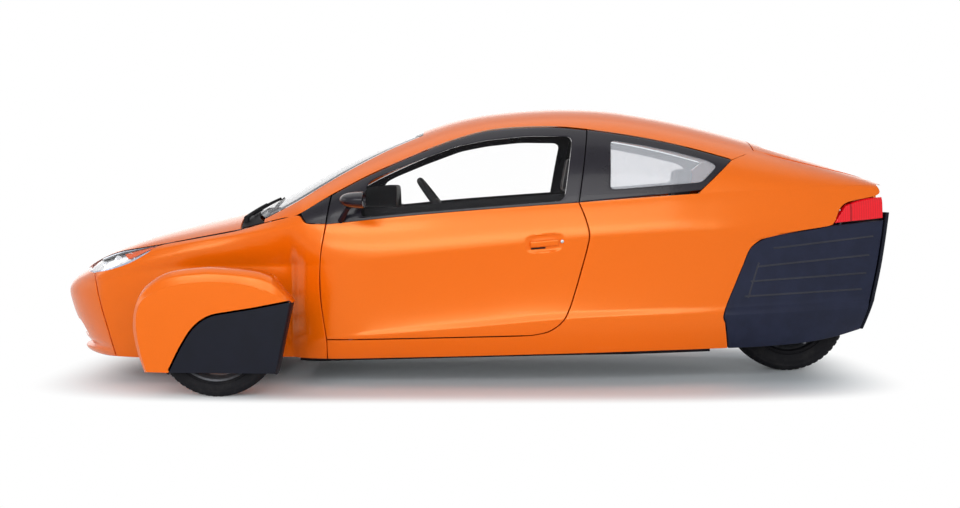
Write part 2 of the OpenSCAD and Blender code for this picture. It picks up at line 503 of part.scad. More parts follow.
// Rubber strips in the shut gaps under the door, behind the hood and ahead of the hatch
seal_play = 0.6;
SEAL_DEPTH = 14;
function shifted(points, dz) = [for (p = points) [p[0], p[1] + dz]];
module seals() color("#17181b") {
    low = shifted(DOOR_BOTTOM, seal_play - half_shut);
    high = shifted(DOOR_BOTTOM, half_shut - seal_play);
    n = len(low) - 1;
    side_panel([low, high, [low[0], high[0]], [low[n], high[n]]], wall_t - 2 * SEAL_DEPTH, 12, 1,
        SEAL_DEPTH, [150, 40, 0, 0]);
    top_panel(HOOD_REAR_X + seal_play, HOOD_REAR_X + shut_gap - seal_play, HOOD_BOW, HOOD_BOW,
        function(x) hood_edge(x),
        roof_t - SEAL_DEPTH, 1, 6, SEAL_DEPTH / 2, half_shut, 0, 0.5);
    top_panel(HATCH_X - shut_gap + seal_play, HATCH_X - seal_play, 0, 0, function(x) hatch_edge(x),
        roof_t - SEAL_DEPTH, 1, 10, SEAL_DEPTH / 2, half_shut, 0, 0.8);
}

// Panel between the tail lamps, under the hatch
module tail_panel() color(PAINT) {
    half = side_y(TAIL_X, 945) - wall_t - 6.7;
    translate([TAIL_X, -half, 836 + seam_gap]) cube([14, 2 * half, 108]);
}

// Floor and bulkheads stop short of the walls by floor_play
floor_play = 1.9;
FLOOR_Z = 172;
JACK_PAD_Y = 400;
JACK_PAD_Z = 132;
FIREWALL_X = station(-800);
REAR_WALL_X = station(1170);
SHELF_Z = 690;
function inner_y(x, z, t) = side_y(x, z) - t - floor_play;
module cabin_tub() color("#2c2d33") {
    xs = [for (i = [0:28]) FIREWALL_X + (REAR_WALL_X - FIREWALL_X) * i / 28];
    // Floor
    translate([0, 0, FLOOR_Z]) linear_extrude(height = floor_t) polygon(concat(
        [for (x = xs) [x, -inner_y(x, FLOOR_Z, wall_t)]],
        [for (i = [28:-1:0]) [xs[i], inner_y(xs[i], FLOOR_Z, wall_t)]]));
    // Jack pads
    for (s = [-1, 1]) translate([station(225) - 270, s * JACK_PAD_Y - 35, JACK_PAD_Z]) cube([90, 70,
        FLOOR_Z - JACK_PAD_Z + 1]);
    // Front bulkhead
    translate([FIREWALL_X, 0, 0]) rotate([90, 0, 90]) linear_extrude(height = floor_t) polygon(concat(
        [for (z = [FLOOR_Z:45:712]) [-inner_y(FIREWALL_X, z, wall_t + 2), z]],
        [for (z = [712:-45:FLOOR_Z]) [inner_y(FIREWALL_X, z, wall_t + 2), z]]));
    // Rear bulkhead
    translate([REAR_WALL_X - floor_t, 0, 0]) rotate([90, 0, 90]) linear_extrude(height = floor_t)
        polygon(concat(
        [for (z = [FLOOR_Z:74:SHELF_Z + 10]) [-inner_y(REAR_WALL_X, z, wall_t), z]],
        [for (z = [SHELF_Z:-74:FLOOR_Z]) [inner_y(REAR_WALL_X, z, wall_t), z]]));
    // Luggage shelf over the rear wheel
    shelf = [for (i = [0:8]) REAR_WALL_X - 1 + (station(1960) - REAR_WALL_X) * i / 8];
    translate([0, 0, SHELF_Z - floor_t]) linear_extrude(height = floor_t) polygon(concat(
        [for (x = shelf) [x, -inner_y(x, SHELF_Z - floor_t, wall_t)]],
        [for (i = [8:-1:0]) [shelf[i], inner_y(shelf[i], SHELF_Z - floor_t, wall_t)]]));
}

module y_rod(x, z, y0, y1, d) translate([x, y0, z]) rotate([-90, 0, 0]) cylinder(h = y1 - y0, d = d);
// Straight tube between two points
module tube(a, b, d) {
    v = b - a;
    translate(a) rotate([0, acos(v[2] / norm(v)), atan2(v[1], v[0])]) cylinder(h = norm(v), d = d);
}

SWING_PIVOT_X = station(1230);
SWING_PIVOT_Z = 330;
module swing_arm() color("#4a4c52") {
    for (s = [-1, 1]) translate([0, s * (swing_arm_w / 2 - 10), 0]) {
        rotate([90, 0, 0]) translate([0, 0, -10]) linear_extrude(height = 20) polygon([
            [SWING_PIVOT_X - 25, SWING_PIVOT_Z - 40], [SWING_PIVOT_X - 25, SWING_PIVOT_Z + 40],
            [rear_axle_x + 20, rear_axle_z + 34], [rear_axle_x + 45, rear_axle_z],
            [rear_axle_x + 20, rear_axle_z - 34]]);
    }
    translate([REAR_WALL_X, -swing_arm_w / 2, SWING_PIVOT_Z - 40])
        cube([SWING_PIVOT_X - REAR_WALL_X + 10, swing_arm_w, 80]);
    y_rod(rear_axle_x, rear_axle_z, -swing_arm_w / 2, swing_arm_w / 2, spindle_d);
}

lower_ball_z = front_axle_z - 115;
upper_ball_z = front_axle_z + 135;
king_pin_d = 18;
EYE_D = 46;
EYE_H = 26;
ARM_ROOT_Y = 330;
module front_arms() color("#4a4c52") {
    both_sides() {
        difference() {
            union() {
                for (s = [-1, 1]) tube([front_axle_x + s * 110, -ARM_ROOT_Y, lower_ball_z],
                    [front_axle_x, -king_y, lower_ball_z], arm_d * 0.8);
                tube([front_axle_x, -ARM_ROOT_Y, upper_ball_z], [front_axle_x, -king_y, upper_ball_z],
                    arm_d * 0.8);
                for (z = [lower_ball_z, upper_ball_z])
                    translate([front_axle_x, -king_y, z - EYE_H / 2]) cylinder(h = EYE_H, d = EYE_D);
            }
            translate([front_axle_x, -king_y, 0]) cylinder(h = 900, d = king_pin_d + 2 * spindle_play);
        }
        // Upright of the subframe that carries the arms, with a hole for the drive shaft
        difference() {
            translate([front_axle_x - 135, -ARM_ROOT_Y - 5, lower_ball_z - 20])
                cube([270, 30, upper_ball_z - lower_ball_z + 40]);
            y_rod(front_axle_x, front_axle_z, -ARM_ROOT_Y - 10, -ARM_ROOT_Y + 40, shaft_d * 2);
        }
    }
    translate([front_axle_x - 135, -ARM_ROOT_Y, lower_ball_z - 20]) cube([270, 2 * ARM_ROOT_Y, 36]);
    for (s = [-1, 1]) translate([front_axle_x, s * 250 - 30, lower_ball_z - 20])
        cube([FIREWALL_X - front_axle_x, 60, 36]);
}

ENGINE = [430, 400, 330];
module engine() color("#5b5e63") translate([front_axle_x - ENGINE[0] / 2, -ENGINE[1] / 2, lower_ball_z
    + 16]) cube(ENGINE); 
module drive_shafts() color("#6a6d73") both_sides() {
    y_rod(front_axle_x, front_axle_z, -king_y + 40, -ENGINE[1] / 2, shaft_d);
    y_rod(front_axle_x, front_axle_z, -ENGINE[1] / 2 - 70, -ENGINE[1] / 2, shaft_d * 2.4);
    y_rod(front_axle_x, front_axle_z, -king_y + 40, -king_y + 96, shaft_d * 2.2);
}

POD_STRAP = [70, 120];
STRAP_IN = 63;
module knuckle(side) color("#5f6268") translate([front_axle_x, 0, 0]) {
    difference() {
        union() {
            translate([0, side * king_y, lower_ball_z + EYE_H / 2 + 0.5])
                cylinder(h = upper_ball_z - lower_ball_z - EYE_H - 1, d = 40);
            translate([0, side * king_y, lower_ball_z - EYE_H / 2])
                cylinder(h = upper_ball_z - lower_ball_z + EYE_H, d = king_pin_d);
            y_rod(0, front_axle_z, side > 0 ? king_y : -wheel_y - 45, side > 0 ? wheel_y + 45 : -king_y,
                spindle_d);
            // Arm out to the pod's strap
            translate([-10, side > 0 ? king_y - STRAP_IN : -king_y - 10, front_axle_z + 50])
                cube([POD_STRAP[1] + 10, STRAP_IN + 10, 34]);
        }
    }
}

// Side view of a pod measured from the axle, columns: x and z of its widest outline, x and z of its
// outer face
POD_SHAPE = [[-319, 123, -301, 130], [-350, 214, -327, 221], [-367, 304, -342, 311], [-368, 358, -344, 365],
    [-362, 404, -337, 409], [-346, 458, -321, 445], [-319, 503, -296, 469], [-282, 537, -260, 490],
    [-237, 565, -215, 508], [-183, 583, -161, 521], [-111, 593, -99, 530], [-20, 599, -9, 535],
    [79, 593, 89, 530], [160, 585, 170, 517], [215, 575, 224, 502], [264, 557, 268, 484],
    [362, 442, 350, 446],
    [285, 114, 279, 123]];
// Rings of a pod from its outer face inward, columns: distance, share of the outer face's outline, draw-in
POD_RINGS = [[0, 1, 0], [5, 0.86, 0], [36, 0.34, 0], [50, 0, 0], [180, 0, 8], [212, 0, 26], [240, 0, 80]];
POD_BOTTOM = 108;
POD_REACH = 368;
POD_H = 491;
function pod_ring(side, ring, inset, outer_y) =
    let (rows = side > 0 ? POD_SHAPE : [for (i = [len(POD_SHAPE) - 1:-1:0]) POD_SHAPE[i]], draw = ring[2]
        + inset)
    [for (p = rows)
        let (x = p[0] + (p[2] - p[0]) * ring[1], z = p[1] + (p[3] - p[1]) * ring[1],
            high = (z - POD_BOTTOM) / POD_H)
        [front_axle_x + x * (1 - draw / POD_REACH), side * outer_y,
            inset > 0 && high < 0.05 ? POD_BOTTOM - 40 : z - (ring[2] * 0.45 + inset) * high]];
pod_outer_y = wheel_y + 128.5;
module pod_wall(side) difference() {
    loft([for (r = POD_RINGS) pod_ring(side, r, 0, pod_outer_y - r[0])]);
    loft([for (r = POD_RINGS) pod_ring(side, r, pod_t, pod_outer_y - (r[0] < 1 ? pod_t : r[0] > 230 ? r[0]
        + 20 : r[0] + 6))]);
}
// Edge of the dark skirt seen from the side, measured from the axle
SKIRT_EDGE = [[-205, 100], [-196, 130], [-143, 240], [-87, 325], [-16, 377], [80, 397], [185, 414],
    [350, 445],
    [420, 460], [420, 60], [-205, 60]];
module skirt_prism() rotate([90, 0, 0]) translate([front_axle_x, 0, -1000]) linear_extrude(height = 2000)
    polygon(SKIRT_EDGE);
module pod_shell(side) color(PAINT) {
    difference() {
        pod_wall(side);
        skirt_prism();
    }
    // Strap down to the knuckle's arm
    translate([front_axle_x + POD_STRAP[0], side > 0 ? king_y - STRAP_IN - 12 : -king_y + STRAP_IN,
        front_axle_z + 50])
        cube([POD_STRAP[1] - POD_STRAP[0], 12, 228]);
}
module pod_skirt(side) color(BLACK) intersection() {
    pod_wall(side);
    skirt_prism();
}
 function tyre_profile(d, w) = [[rim_d / 2, -w * 0.42], [rim_d / 2 + 12, -w * 0.47],
     [rim_d * 0.32 + d * 0.18, -w / 2], [d / 2 - 30, -w * 0.48],
    [d / 2 - 9, -w * 0.42], [d / 2, -w * 0.3], [d / 2, w * 0.3], [d / 2 - 9, w * 0.42],
    [d / 2 - 30, w * 0.48],
    [rim_d * 0.32 + d * 0.18, w / 2], [rim_d / 2 + 12, w * 0.47], [rim_d / 2, w * 0.42]];
module tyre(d, w) color("#1b1b1d") rotate([90, 0, 0]) rotate_extrude($fn = 64) polygon(tyre_profile(d, w));
module rim(w, hub_w) color("#7b7e84") rotate([90, 0, 0]) {
    bore = spindle_d / 2 + spindle_play;
    rotate_extrude($fn = 64) polygon([[rim_d / 2 - 16, -w * 0.42], [rim_d / 2, -w * 0.42],
        [rim_d / 2, w * 0.42],
        [rim_d / 2 - 16, w * 0.42]]);
    rotate_extrude($fn = 64) polygon([[bore, -hub_w / 2], [HUB_D / 2, -hub_w / 2], [HUB_D / 2, hub_w / 2],
        [bore, hub_w / 2]]);
    for (i = [0:spoke_count - 1]) rotate([0, 0, i * 360 / spoke_count + 90])
        translate([0, 0, 5 - hub_w / 2])
        linear_extrude(height = 22) polygon([[HUB_D / 2 - 12, -22], [rim_d / 2 - 8, -20],
            [rim_d / 2 - 8, 20], [HUB_D / 2 - 12, 22]]);
}
HUB_D = 96;
module front_wheel_at(side) translate([front_axle_x, side * wheel_y, front_axle_z])
    rotate([0, 0, side > 0 ? 180 : 0]) children();
module front_tyre(side) front_wheel_at(side) tyre(front_tyre_d, front_tyre_w);
module front_rim(side) front_wheel_at(side) translate([0, -10, 0]) rim(front_tyre_w - 8, 36);
module rear_tyre() translate([rear_axle_x, 0, rear_axle_z]) tyre(rear_tyre_d, rear_tyre_w);
module rear_rim() translate([rear_axle_x, 0, rear_axle_z]) rim(rear_tyre_w - 8, 150);
 DASH = [[-770, 560], [-770, 800], [-640, 838], [-540, 850], [-520, 925], [-420, 930], [-404, 850],
     [-424, 640], [-560, 600]];
module dashboard() color("#232429") rotate([90, 0, 0]) translate([0, 0, -380]) linear_extrude(height = 760)
    polygon([for (p = DASH) [p[0] - DASH[0][0] + FIREWALL_X + floor_t, p[1]]]);

STEER_CENTRE = [station(-190), 0, 856];
module steering_wheel() color("#1d1e22") translate(STEER_CENTRE) rotate([0, -126.7, 0]) {
    rotate_extrude($fn = 48) translate([steer_d / 2 - 15, 0]) circle(d = 30, $fn = 12);
    cylinder(h = 34, d = 96, center = true);
    for (a = [90, 180, 270]) rotate([0, 0, a]) translate([20, -20, -8]) cube([steer_d / 2 - 40, 40, 16]);
    translate([0, 0, 10]) cylinder(h = 252, d = 44);
}

// Seat with its cushion's front edge at x: cushion length, backrest length and its lean
module seat(x, w, cushion, back, lean, base_z) color("#34363c") translate([x, 0, base_z]) {
    translate([0, -w / 2, 0]) cube([cushion, w, 150]);
    translate([cushion - 40, -w / 2 + 10, 90]) rotate([0, lean, 0]) {
        cube([100, w - 20, back]);
        translate([14, w / 2 - 130, back - 10]) cube([68, 240, 215]);
    }
}
module driver_seat() seat(station(-130), seat_w, 500, 625, 10, FLOOR_Z + floor_t);
module passenger_seat() seat(station(560), seat_w - 60, 440, 560, 6, FLOOR_Z + floor_t);

MIRROR_RINGS = [[0, 6, 5], [14, 44, 20], [40, 72, 31], [80, 86, 37], [112, 88, 38]];
module mirror_head(side) {
    tip = [station(-625), -690 * wide, 902];
    both = [for (r = MIRROR_RINGS) [for (i = [0:13]) let (a = -i * 360 / 14) tip + [r[0], cos(a) * r[1],
        sin(a) * r[2]]]];
    loft(both);
    foot = [station(-640), -side_y(station(-640), 800), 800];
    tube(foot + [0, 6, 0], tip + [60, 50, -22], 26);
}
module mirror_left() color(BLACK) mirror_head();
module mirror_right() color(BLACK) mirror([0, 1, 0]) mirror_head();
// Wiper from its pivot on the cowl to its end on the glass, columns: station x, y
WIPER = stations([[-1132, -330 * wide], [-1012, -50 * wide]]);
WIPER_D = 12;
function on_glass(p) = [p[0], p[1], dome_flat(p[0], asin(p[1] / rail_y(BELT_RAIL, p[0])))[1]];
module wipers() color("#15161a") both_sides() {
    path = [for (i = [0:6]) on_glass(WIPER[0] + (WIPER[1] - WIPER[0]) * i / 6) + [0, 0, 7]];
    loft([for (p = path) [for (k = [0:5]) p + [cos(k * 60), 0, sin(k * 60)] * WIPER_D / 2]]);
}

module knuckle_left() knuckle(-1);
module knuckle_right() knuckle(1);
module pod_shell_left() pod_shell(-1);
module pod_shell_right() pod_shell(1);
module pod_skirt_left() pod_skirt(-1);
module pod_skirt_right() pod_skirt(1);
module front_tyre_left() front_tyre(-1);
module front_tyre_right() front_tyre(1);
module front_rim_left() front_rim(-1);
module front_rim_right() front_rim(1);

// The stations count from a point ahead of mid length, and the car stands with its origin at mid length
origin_x = -(min([for (p = NOSE_TIP) p[1]]) + max([for (p = TAIL_BACK) p[1]])) / 2;
translate([origin_x, 0, 0]) {
    cabin_tub();
    nose_bumper();
    intake_grille();
    headlamp_lenses();
    headlamp_bowls();
    fenders();
    cowl_panel();
    wipers();
    windshield();
    roof();
    windshield_pillars();
    quarter_panels();
    sills();
    rear_pillars();
    side_panel_right();
    window_surrounds();
    side_glass();
    tail_lamps();
    tail_panel();
    seals();
    rear_claddings();
    rear_valance();
    swing_arm();
    front_arms();
    drive_shafts();
    engine();
    dashboard();
    steering_wheel();
    driver_seat();
    passenger_seat();
    mirror_right();
    door_shell();
    door_window_frame();
    door_glass();
    door_handle();
    mirror_left();
    hood();
    hatch_frame();
    hatch_glass();
    knuckle_left();
    pod_shell_left();
    pod_skirt_left();
    knuckle_right();
    pod_shell_right();
    pod_skirt_right();
    front_tyre_left();
    front_rim_left();
    front_tyre_right();
    front_rim_right();
    rear_tyre();
    rear_rim();
}
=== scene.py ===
"""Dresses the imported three-wheeled car: smooth body panels, glass, lamps, pods, wheels, cabin and stage."""

import math

import bpy
import numpy as np
from mathutils import Matrix, Vector


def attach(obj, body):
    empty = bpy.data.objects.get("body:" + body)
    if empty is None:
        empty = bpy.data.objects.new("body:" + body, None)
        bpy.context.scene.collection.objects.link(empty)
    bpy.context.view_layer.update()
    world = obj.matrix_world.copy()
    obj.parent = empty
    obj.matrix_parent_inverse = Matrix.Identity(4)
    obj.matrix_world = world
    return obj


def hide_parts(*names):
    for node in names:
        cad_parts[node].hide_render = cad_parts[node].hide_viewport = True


bl_info = {
    "name": "Three-wheeled car",
    "version": (1, 0, 0),
    "blender": (4, 5, 0),
    "location": "3D View > Sidebar > Car",
    "description": "Dresses the packed three-wheeled car with smooth panels, lamps, wheels, cabin and stage",
    "category": "Object",
}

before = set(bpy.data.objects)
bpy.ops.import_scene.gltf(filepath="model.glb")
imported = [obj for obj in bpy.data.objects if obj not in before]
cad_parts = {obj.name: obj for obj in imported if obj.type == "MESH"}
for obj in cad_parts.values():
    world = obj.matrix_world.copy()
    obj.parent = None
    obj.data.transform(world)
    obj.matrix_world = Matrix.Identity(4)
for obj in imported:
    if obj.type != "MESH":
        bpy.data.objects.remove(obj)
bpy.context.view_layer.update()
MM = 0.001
# Points closer than this, in millimetres, are merged where a piece is welded
WELD = 0.001
# Thickness of the body's panels, of its pillars and lids, and of its window frames, in millimetres
PANEL, THIN, FRAME = 46, 28, 26
# Finishes of a painted panel, outside and inside
PAINT = ["orange_paint", "cabin_lining"]
# The tables below count stations from a point this far behind the frame's origin, in millimetres
STATION_ZERO = 34.5

# Guide rails of the body's left half in millimetres, columns: station x, height z, half width y
BOTTOM_RAIL = [
    [-2012, 300, 20], [-1968, 180, 200], [-1882, 140, 338], [-1780, 128, 385], [-1650, 120, 405],
    [-1200, 125, 408], [-900, 128, 415], [-850, 129, 445], [-800, 130, 470], [-700, 134, 500],
    [-550, 138, 515], [405, 161, 522], [1182, 173, 432], [1600, 188, 352], [1920, 250, 290]]
LOW_RAIL = [
    [-2012, 400, 20], [-1968, 300, 208], [-1882, 250, 365], [-1780, 250, 405], [-1450, 250, 430],
    [-1000, 250, 430], [-900, 250, 440], [-850, 251, 476], [-800, 251, 508], [-700, 252, 545],
    [-550, 255, 566], [0, 300, 585], [445, 337, 578], [1196, 358, 482], [1900, 400, 345]]
MID_RAIL = [
    [-2012, 480, 20], [-1968, 482, 212], [-1882, 490, 356], [-1780, 520, 408], [-1650, 548, 432],
    [-1450, 574, 437], [-1000, 585, 438], [-900, 586, 446], [-850, 587, 486], [-800, 588, 522],
    [-700, 598, 558], [-550, 614, 580], [-259, 644, 600], [91, 679, 606], [527, 722, 590],
    [1137, 754, 503], [1466, 776, 440], [2000, 800, 345]]
BELT_RAIL = [
    [-2012, 532, 10], [-1968, 541, 200], [-1882, 552, 338], [-1780, 594, 395], [-1650, 635, 425],
    [-1450, 680, 440], [-1200, 725, 452], [-1000, 755, 482], [-800, 781, 527], [-450, 812, 556],
    [-136, 842, 570], [200, 868, 570], [485, 888, 560], [900, 918, 508], [1142, 935, 463],
    [1500, 952, 403], [1750, 960, 360], [1900, 964, 334], [2030, 958, 312]]
# Crown of the body on its centre plane, columns: station x, height z
CROWN = [
    [-2012, 540], [-1968, 563], [-1882, 607], [-1780, 651], [-1600, 716], [-1400, 770], [-1200, 818],
    [-1110, 842], [-930, 938], [-670, 1079], [-500, 1157], [-270, 1247], [-95, 1302], [100, 1337],
    [390, 1358], [660, 1350], [900, 1314], [1120, 1268], [1385, 1199], [1600, 1132], [1810, 1064],
    [1930, 1022], [2000, 994], [2030, 980]]
# Shape of the upper body's cross section, columns: station x, lean at the belt, squareness
DOME = [
    [-2012, 0.35, 5], [-1800, 0.4, 5], [-1600, 0.68, 3.3], [-1400, 0.85, 2.5], [-1200, 0.9, 2.3],
    [-1000, 0.5, 2.3], [-800, 0.14, 2.45], [1000, 0.12, 2.45], [1500, 0.3, 2.3], [1800, 0.4, 2.5],
    [2000, 0.5, 3.2]]
# Swell of the side, columns: station x, swell between low and mid rails, between mid and belt rails
SWELL = [
    [-1990, 4, 8], [-1000, 6, 12], [-800, 4, 12], [-640, 0, 10], [-480, -17, 8], [100, -22, 8],
    [600, -16, 8], [1200, -6, 8], [2000, 0, 6]]
# Swell of the sill, between the bottom and low rails
SILL_SWELL = 6
# Ledge that stands out above the low rail, columns: station x, height, how far it stands out
LEDGE = [[-760, 0, 0], [-600, 8, 1.5], [-360, 19, 4], [0, 24, 5], [400, 28, 5.6], [1200, 23, 4.6], [2000, 20, 4]]
# Distance over which the creases on the rails are rounded
CREASE_ROUND = 5.0
# Sine of the angle below which two edges count as one line
SHALLOW_CORNER = 0.3


def rail(table, column, x):
    """Smooth value of a table's column at station x."""
    table, x = np.asarray(table, float), np.asarray(x, float)
    xs, ys = table[:, 0], table[:, column]
    n = len(xs)
    before, after = np.maximum(np.arange(n) - 1, 0), np.minimum(np.arange(n) + 1, n - 1)
    slope = (ys[after] - ys[before]) / (xs[after] - xs[before])
    i = np.clip(np.searchsorted(xs, x, side="right") - 1, 0, n - 2)
    w = xs[i + 1] - xs[i]
    t = (x - xs[i]) / w
    inside = (ys[i] * (1 + 2 * t) * (1 - t) ** 2 + slope[i] * w * t * (1 - t) ** 2
              + ys[i + 1] * t * t * (3 - 2 * t) + slope[i + 1] * w * t * t * (t - 1))
    low, high = ys[0] + slope[0] * (x - xs[0]), ys[-1] + slope[-1] * (x - xs[-1])
    return np.where(x <= xs[0], low, np.where(x >= xs[-1], high, inside))


def dome_q(v, lean, square):
    """Share of the belt's half width at share v of the height from belt to crown."""
    return np.maximum(0, 1 - lean * v - (1 - lean) * v * v) ** (1 / square)


def dome_v(q, lean, square):
    """Share of the height from belt to crown at share q of the belt's half width."""
    left = 1 - q ** square
    return (-lean + np.sqrt(lean * lean + 4 * (1 - lean) * left)) / (2 * (1 - lean))


def sharp_side_y(x, z):
    """Half width of the body at station x and height z, with sharp creases on the rails."""
    z0, z1, z2, z3 = (rail(t, 1, x) for t in (BOTTOM_RAIL, LOW_RAIL, MID_RAIL, BELT_RAIL))
    y0, y1, y2, y3 = (rail(t, 2, x) for t in (BOTTOM_RAIL, LOW_RAIL, MID_RAIL, BELT_RAIL))

    def strip(za, ya, zb, yb, swell):
        t = (z - za) / (zb - za)
        return ya + (yb - ya) * t + 4 * swell * t * (1 - t)

    high = np.maximum(rail(LEDGE, 1, x), 1)
    ledge = np.where(z < z1, np.clip((z - z0) / (z1 - z0), 0, 1), np.clip(1 - (z - z1) / high, 0, 1))
    ledge = ledge * np.clip(rail(LEDGE, 2, x), 0, 6)
    v = np.clip((z - z3) / (rail(CROWN, 1, x) - z3), 0, 1)
    top = y3 * dome_q(v, rail(DOME, 1, x), rail(DOME, 2, x))
    return np.select(
        [z < z1, z < z2, z < z3],
        [strip(z0, y0, z1, y1, SILL_SWELL) + ledge, strip(z1, y1, z2, y2, rail(SWELL, 1, x)) + ledge,
         strip(z2, y2, z3, y3, rail(SWELL, 2, x))], top)


def side_y(x, z):
    """Half width of the body with its creases rounded."""
    sharp = sharp_side_y(x, z)
    soft = sum(w * sharp_side_y(x, z + k * CREASE_ROUND)
               for k, w in zip((-2, -1, 0, 1, 2), (0.0625, 0.25, 0.375, 0.25, 0.0625)))
    return np.where(z < rail(BELT_RAIL, 1, x) + 30, soft, sharp)


def side_points(flat, depth=0.0):
    """Points of the left side from [x, z] points, a depth below the outside."""
    x, z = flat[..., 0], flat[..., 1]
    return np.stack([x, -(side_y(x, z) - depth), z], -1)


def dome_flat(x, a):
    """Place across and height of the upper body at station x and sweep angle a."""
    z3 = rail(BELT_RAIL, 1, x)
    v = dome_v(np.abs(np.sin(a)), rail(DOME, 1, x), rail(DOME, 2, x))
    return rail(BELT_RAIL, 2, x) * np.sin(a), z3 + (rail(CROWN, 1, x) - z3) * v


def dome_points(grid, depth=0.0):
    """Points of the upper body from [station, sweep, slant] points."""
    x, a, slant = grid[..., 0], grid[..., 1], grid[..., 2]
    y, z = dome_flat(x, a)
    return np.stack([x, y - depth * np.sin(slant), z - depth * np.cos(slant)], -1)


def sweep_at(x, z):
    """Sweep angle of the upper body's left side at station x and height z."""
    z3 = rail(BELT_RAIL, 1, x)
    v = (z - z3) / (rail(CROWN, 1, x) - z3)
    return -np.arcsin(np.minimum(1, dome_q(v, rail(DOME, 1, x), rail(DOME, 2, x))))


def top_sheet(x0, x1, bow0, bow1, edge, nu, nv, trim):
    """Grid of the upper body from station x0 to x1, its ends bowed back at the sides, down to an edge height."""
    t = np.linspace(0, 1, nu + 1)[:, None]
    s = np.linspace(1, -1, nv + 1)[None, :]
    x, bow = x0 + (x1 - x0) * t, bow0 + (bow1 - bow0) * t
    trim = trim(x + bow) if callable(trim) else trim
    a = sweep_at(x + bow, edge(x + bow) + trim)
    return np.stack([x + bow * s * s, a * s, -np.pi / 2 * s + 0 * a], -1)


def height_at(x, y):
    """Height of the upper body's outside over a plan point."""
    a = np.arcsin(np.clip(y / rail(BELT_RAIL, 2, x), -1, 1))
    return dome_flat(x, a)[1]


def spline(points, t):
    """Points of a smooth curve through points, evenly by point number."""
    p, t = np.asarray(points, float), np.asarray(t, float)
    n = len(p) - 1
    i = np.clip(np.floor(t * n).astype(int), 0, n - 1)
    f = (t * n - i)[..., None]
    b, c = p[i], p[i + 1]
    a = np.where((i > 0)[..., None], p[np.maximum(i - 1, 0)], 2 * b - c)
    d = np.where((i < n - 1)[..., None], p[np.minimum(i + 2, n)], 2 * c - b)
    return b + f * ((c - a) / 2 + f * ((2 * a - 5 * b + 4 * c - d) / 2 + f * (3 * b - a - 3 * c + d) / 2))


def coons(edges, nu, nv):
    """Grid of a patch between four edge curves: bottom, top, left, right."""
    u, v = np.linspace(0, 1, nu + 1), np.linspace(0, 1, nv + 1)
    bottom, top = spline(edges[0], u)[:, None], spline(edges[1], u)[:, None]
    left, right = spline(edges[2], v)[None], spline(edges[3], v)[None]
    u, v = u[:, None, None], v[None, :, None]
    return ((1 - v) * bottom + v * top + (1 - u) * left + u * right
            - (1 - u) * (1 - v) * bottom[:1] - u * (1 - v) * bottom[-1:]
            - (1 - u) * v * top[:1] - u * v * top[-1:])


def normals(curve, turn):
    """Unit normals of a flat curve, on its left for turn 1 and on its right for -1."""
    i = np.arange(len(curve))
    d = curve[np.minimum(i + 1, len(curve) - 1)] - curve[np.maximum(i - 1, 0)]
    return turn * np.stack([-d[:, 1], d[:, 0]], -1) / np.linalg.norm(d, axis=1)[:, None]


def moved_corner(p, n1, d1, n2, d2):
    """Corner p of two edges that move by d1 and d2 along their normals n1 and n2."""
    det = n1[0] * n2[1] - n1[1] * n2[0]
    if abs(det) < SHALLOW_CORNER:
        return p + (n1 * d1 + n2 * d2) / 2
    return p + np.array([d1 * n2[1] - d2 * n1[1], n1[0] * d2 - n2[0] * d1]) / det


def trimmed(edges, trim):
    """Edge curves moved in by trim: left, right, bottom, top."""
    e = [np.asarray(c, float) for c in edges]
    n = [normals(e[0], 1), normals(e[1], -1), normals(e[2], -1), normals(e[3], 1)]
    d = [trim[2], trim[3], trim[0], trim[1]]
    p00 = moved_corner(e[0][0], n[0][0], d[0], n[2][0], d[2])
    p10 = moved_corner(e[0][-1], n[0][-1], d[0], n[3][0], d[3])
    p01 = moved_corner(e[1][0], n[1][0], d[1], n[2][-1], d[2])
    p11 = moved_corner(e[1][-1], n[1][-1], d[1], n[3][-1], d[3])
    out = [c + n[k] * d[k] for k, c in enumerate(e)]
    for k, (a, b) in enumerate(((p00, p10), (p01, p11), (p00, p01), (p10, p11))):
        out[k][0], out[k][-1] = a, b
    return out


# Shut lines and edges of the left side, columns: station x, height z
NOSE_SEAM = [[-1771, 128], [-1800, 250], [-1850, 420], [-1882, 538]]
FENDER_TOP = [[-1882, 538], [-1780, 558], [-1680, 592], [-1600, 636], [-1540, 674], [-1350, 710], [-1170, 744],
              [-1030, 782], [-930, 806], [-850, 822], [-806, 786], [-711, 784]]
FENDER_BOTTOM = [[-1771, 128], [-1480, 121], [-1200, 125], [-950, 128], [-715, 133]]
FENDER_REAR = [[-715, 133], [-713, 232], [-740, 446], [-736, 624], [-711, 784]]
DOOR_FRONT = [[-713, 232], [-737, 410], [-740, 600], [-711, 784]]
DOOR_REAR = [[269, 256], [350, 276], [412, 322], [447, 384], [478, 480], [508, 590], [530, 680], [537, 740],
             [520, 812], [490, 888]]
DOOR_BOTTOM = [[-713, 232], [-380, 240], [-60, 248], [269, 256]]
DOOR_BELT = [[-711, 784], [-300, 827], [100, 860], [490, 888]]
DOOR_EDGES = [DOOR_BOTTOM, DOOR_BELT, DOOR_FRONT, DOOR_REAR]
SILL_BOTTOM = [[-715, 133], [-200, 146], [300, 159], [800, 168], [1236, 174]]
SILL_TOP = DOOR_BOTTOM + [[585, 272], [900, 286], [1212, 300]]
CLAD_LINE = [[1212, 300], [1202, 352], [1262, 505], [1294, 582], [1336, 672], [1430, 727]]
CLAD_FRONT = [[1236, 174]] + CLAD_LINE
QUARTER_BOTTOM = [[269, 256], [600, 272], [900, 286], [1212, 300]]
QUARTER_REAR = CLAD_LINE + [[1540, 742], [1650, 757], [1735, 771], [1760, 792], [1812, 878], [1985, 920], [1990, 972]]
QUARTER_BELT = [[490, 888], [900, 918], [1300, 943], [1700, 961], [1990, 972]]
